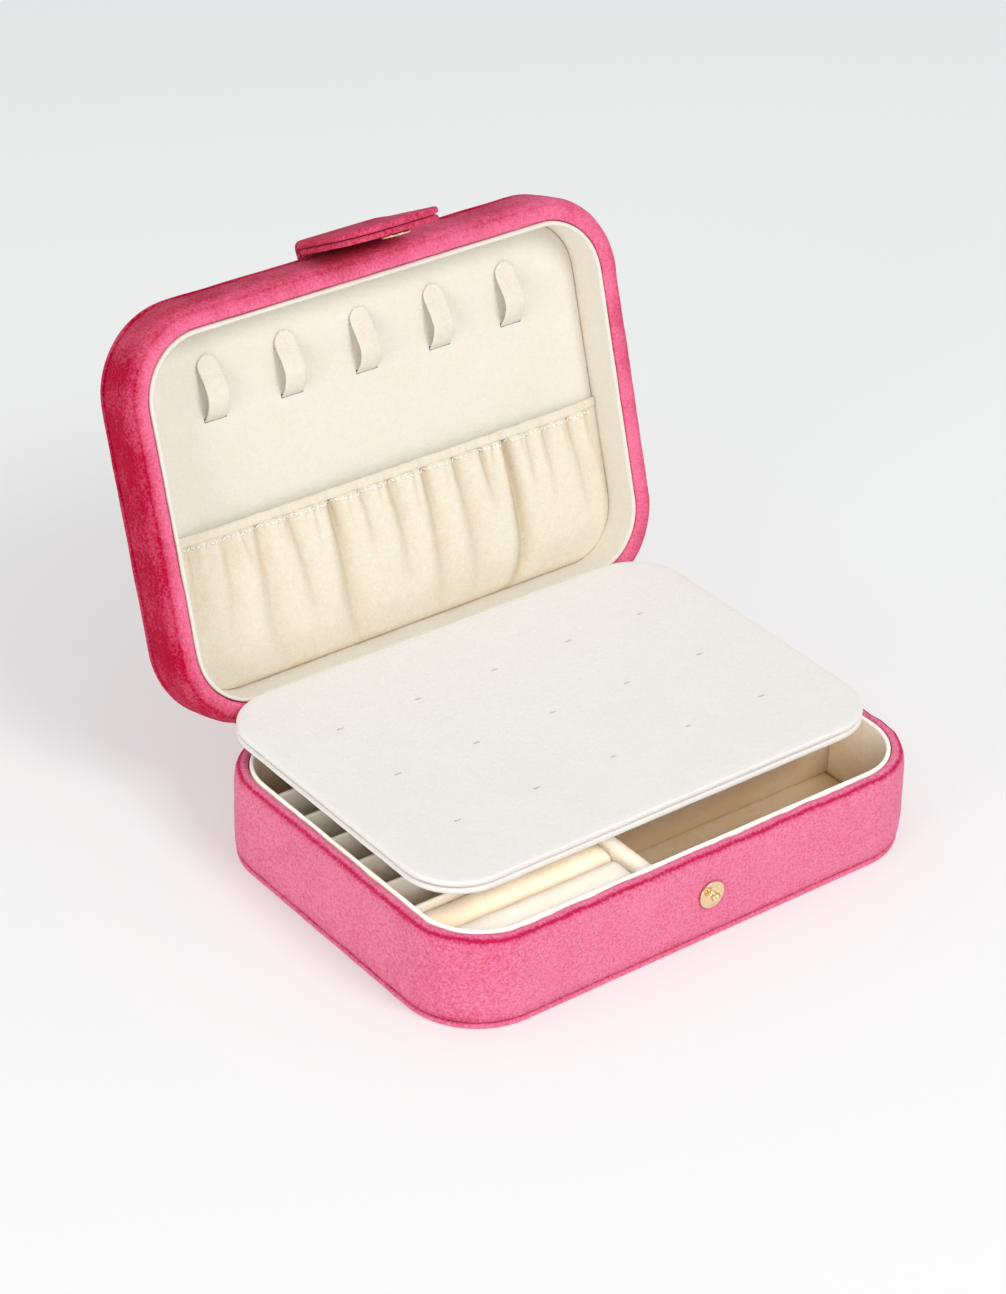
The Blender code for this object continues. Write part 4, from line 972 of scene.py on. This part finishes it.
def board_layer(name, low, node):
    """One padded board, its cloth pulled round the edge."""
    high = low + LAYER
    # Painted shade: the board's underside and the lower half of its edge are darker than its top.
    profile = ((-18.0, low, 0.2), (-4.0, low, 0.2), (-1.2, low + 0.02, 0.4),
               (-0.5, low + 0.2, 0.5), (-0.12, low + 0.6, 0.25), (0.0, low + 1.2, 0.1),
               (-0.12, high - 0.6, 0.05), (-0.5, high - 0.22, 0.0), (-1.2, high - 0.05, 0.0),
               (-3.0, high, 0.0), (-9.0, high, 0.0), (-19.0, high, 0.0))
    bm = swept(board_high.x, (board_high.y - board_low.y) / 2, BOARD_RADIUS, profile, closed=False)
    ripple(bm, 0.12 * MM, 7 * MM, low)
    bmesh.ops.translate(bm, vec=(0, BOARD_MIDDLE_Y, 0), verts=bm.verts)
    piece = finished(bm, name, board_suede, None, "cream_velvet")
    cut_through(piece, slits.copy(), "board", node)


board_layer("earring_board_lower", board_low.z / MM, "earring_board_base")
board_layer("earring_board_upper", board_top / MM - LAYER, "earring_board_top")
slits.free()

# ---------------------------------------------------------------- hinge strips
# Strips of cloth glued to the pieces they join. The outer one is a wide velvet strip down the
# base's rear and up the lid's, and a narrow velvet one hinges the flap. A cream tape behind the
# earring board hangs it from the lid's lining.


def strip(name, path, half, thickness, material, slot, node, tones=(0.3, 0.3)):
    """A strip of cloth along a path of (y, z) points, shaded from one tone to the other."""
    bm = bmesh.new()
    tone = bm.verts.layers.float.new("tone")
    across_steps = max(8, round(2 * half / (3 * MM)))
    bmesh.ops.create_grid(bm, x_segments=across_steps, y_segments=len(path) - 1, size=1.0)
    for vert in bm.verts:
        along = (vert.co.y + 1) / 2
        y, z = path[round(along * (len(path) - 1))]
        vert[tone] = tones[0] + (tones[1] - tones[0]) * along
        vert.co = Vector((vert.co.x * half, y, z))
    bmesh.ops.recalc_face_normals(bm, faces=bm.faces)
    piece = finished(bm, name, material, None, slot, node)
    solid_cloth(piece, thickness)
    return piece


def opened(y, z):
    place = OPENING @ (Vector((0, y, z)) - HINGE) + HINGE
    return (place.y, place.z)


TAPE = 0.7 * MM
tape_off = 0.3 * MM + TAPE / 2
rear = BASE_HALF_Y + 1.4 * MM + tape_off
lid_rear = LID_HALF_Y + tape_off
rear_path = [(rear, 11 * MM), (rear, 20 * MM), (rear, HINGE.z - 3.4 * MM),
             (rear + 1.1 * MM, HINGE.z - 1.5 * MM), opened(lid_rear, 38.2 * MM),
             opened(lid_rear, 42.6 * MM), opened(lid_rear, 48.0 * MM)]
# Painted shade: the strip's colour darkens from its base end to its lid end, as on the lid.
rear_strip = strip("rear_hinge_velvet", smooth_path(rear_path, 6), 75.0 * MM, TAPE, base_velvet,
                   "pink_velvet", "outer_hinge_tape", (0.05, 0.85))
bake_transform(rear_strip, "base", "lid", start=(0, rear, HINGE.z - 4 * MM),
         end=(0, *opened(lid_rear, 38.2 * MM)))


def off_flap(out, down):
    place = FLAP_TURN @ Vector((0, -out, -down)) + FLAP_AXIS
    return (place.y, place.z)


lid_top = LID_TOP + tape_off
lid_front = -LID_HALF_Y
flap_path = [opened(lid_front + 12 * MM, lid_top), opened(lid_front + 6 * MM, lid_top),
             opened(lid_front + 1.0 * MM, lid_top), off_flap(2.2 * MM, -1.1 * MM),
             off_flap(FLAP_FACE - 0.8 * MM, -0.3 * MM), off_flap(FLAP_FACE + 0.05 * MM, 1.5 * MM),
             off_flap(FLAP_FACE + 0.05 * MM, 5 * MM), off_flap(FLAP_FACE - 0.1 * MM, 8 * MM)]
flap_strip = strip("flap_hinge_velvet", smooth_path(flap_path, 6), 16.0 * MM, TAPE, flap_velvet,
                   "pink_velvet", "flap_tape", (0.6, 0.6))
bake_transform(flap_strip, "lid", "flap", start=(0, *opened(lid_front + 1.0 * MM, lid_top)),
         end=(0, *off_flap(FLAP_FACE + 0.05 * MM, 1.5 * MM)))

tape_low, tape_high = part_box("board_hinge_tape")
tape_y = (tape_low.y + tape_high.y) / 2
tape_path = [(tape_y, tape_low.z + (tape_high.z - tape_low.z) * step / 6) for step in range(7)]
board_strip = strip("board_hinge_cloth", tape_path, tape_high.x, 0.4 * MM, lining,
                    "cream_velvet", "board_hinge_tape")
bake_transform(board_strip, "lid", "board_tape", start=(0, tape_y, tape_low.z - 2.6 * MM),
         end=(0, tape_y, tape_low.z + 0.3 * MM))

# The base's collar, rolls and dividers take the reflector's light, all but the tray's divider.
inside = bpy.data.collections.new("inside")
for name in ("base_collar_suede", "centre_divider_suede", "ring_bay_wall_suede",
             "ring_roll_front_suede", "ring_roll_rear_suede",
             *[f"bay_divider_{index}_suede" for index in range(1, 6)]):
    inside.objects.link(bpy.data.objects[name])
reflector.light_linking.receiver_collection = inside
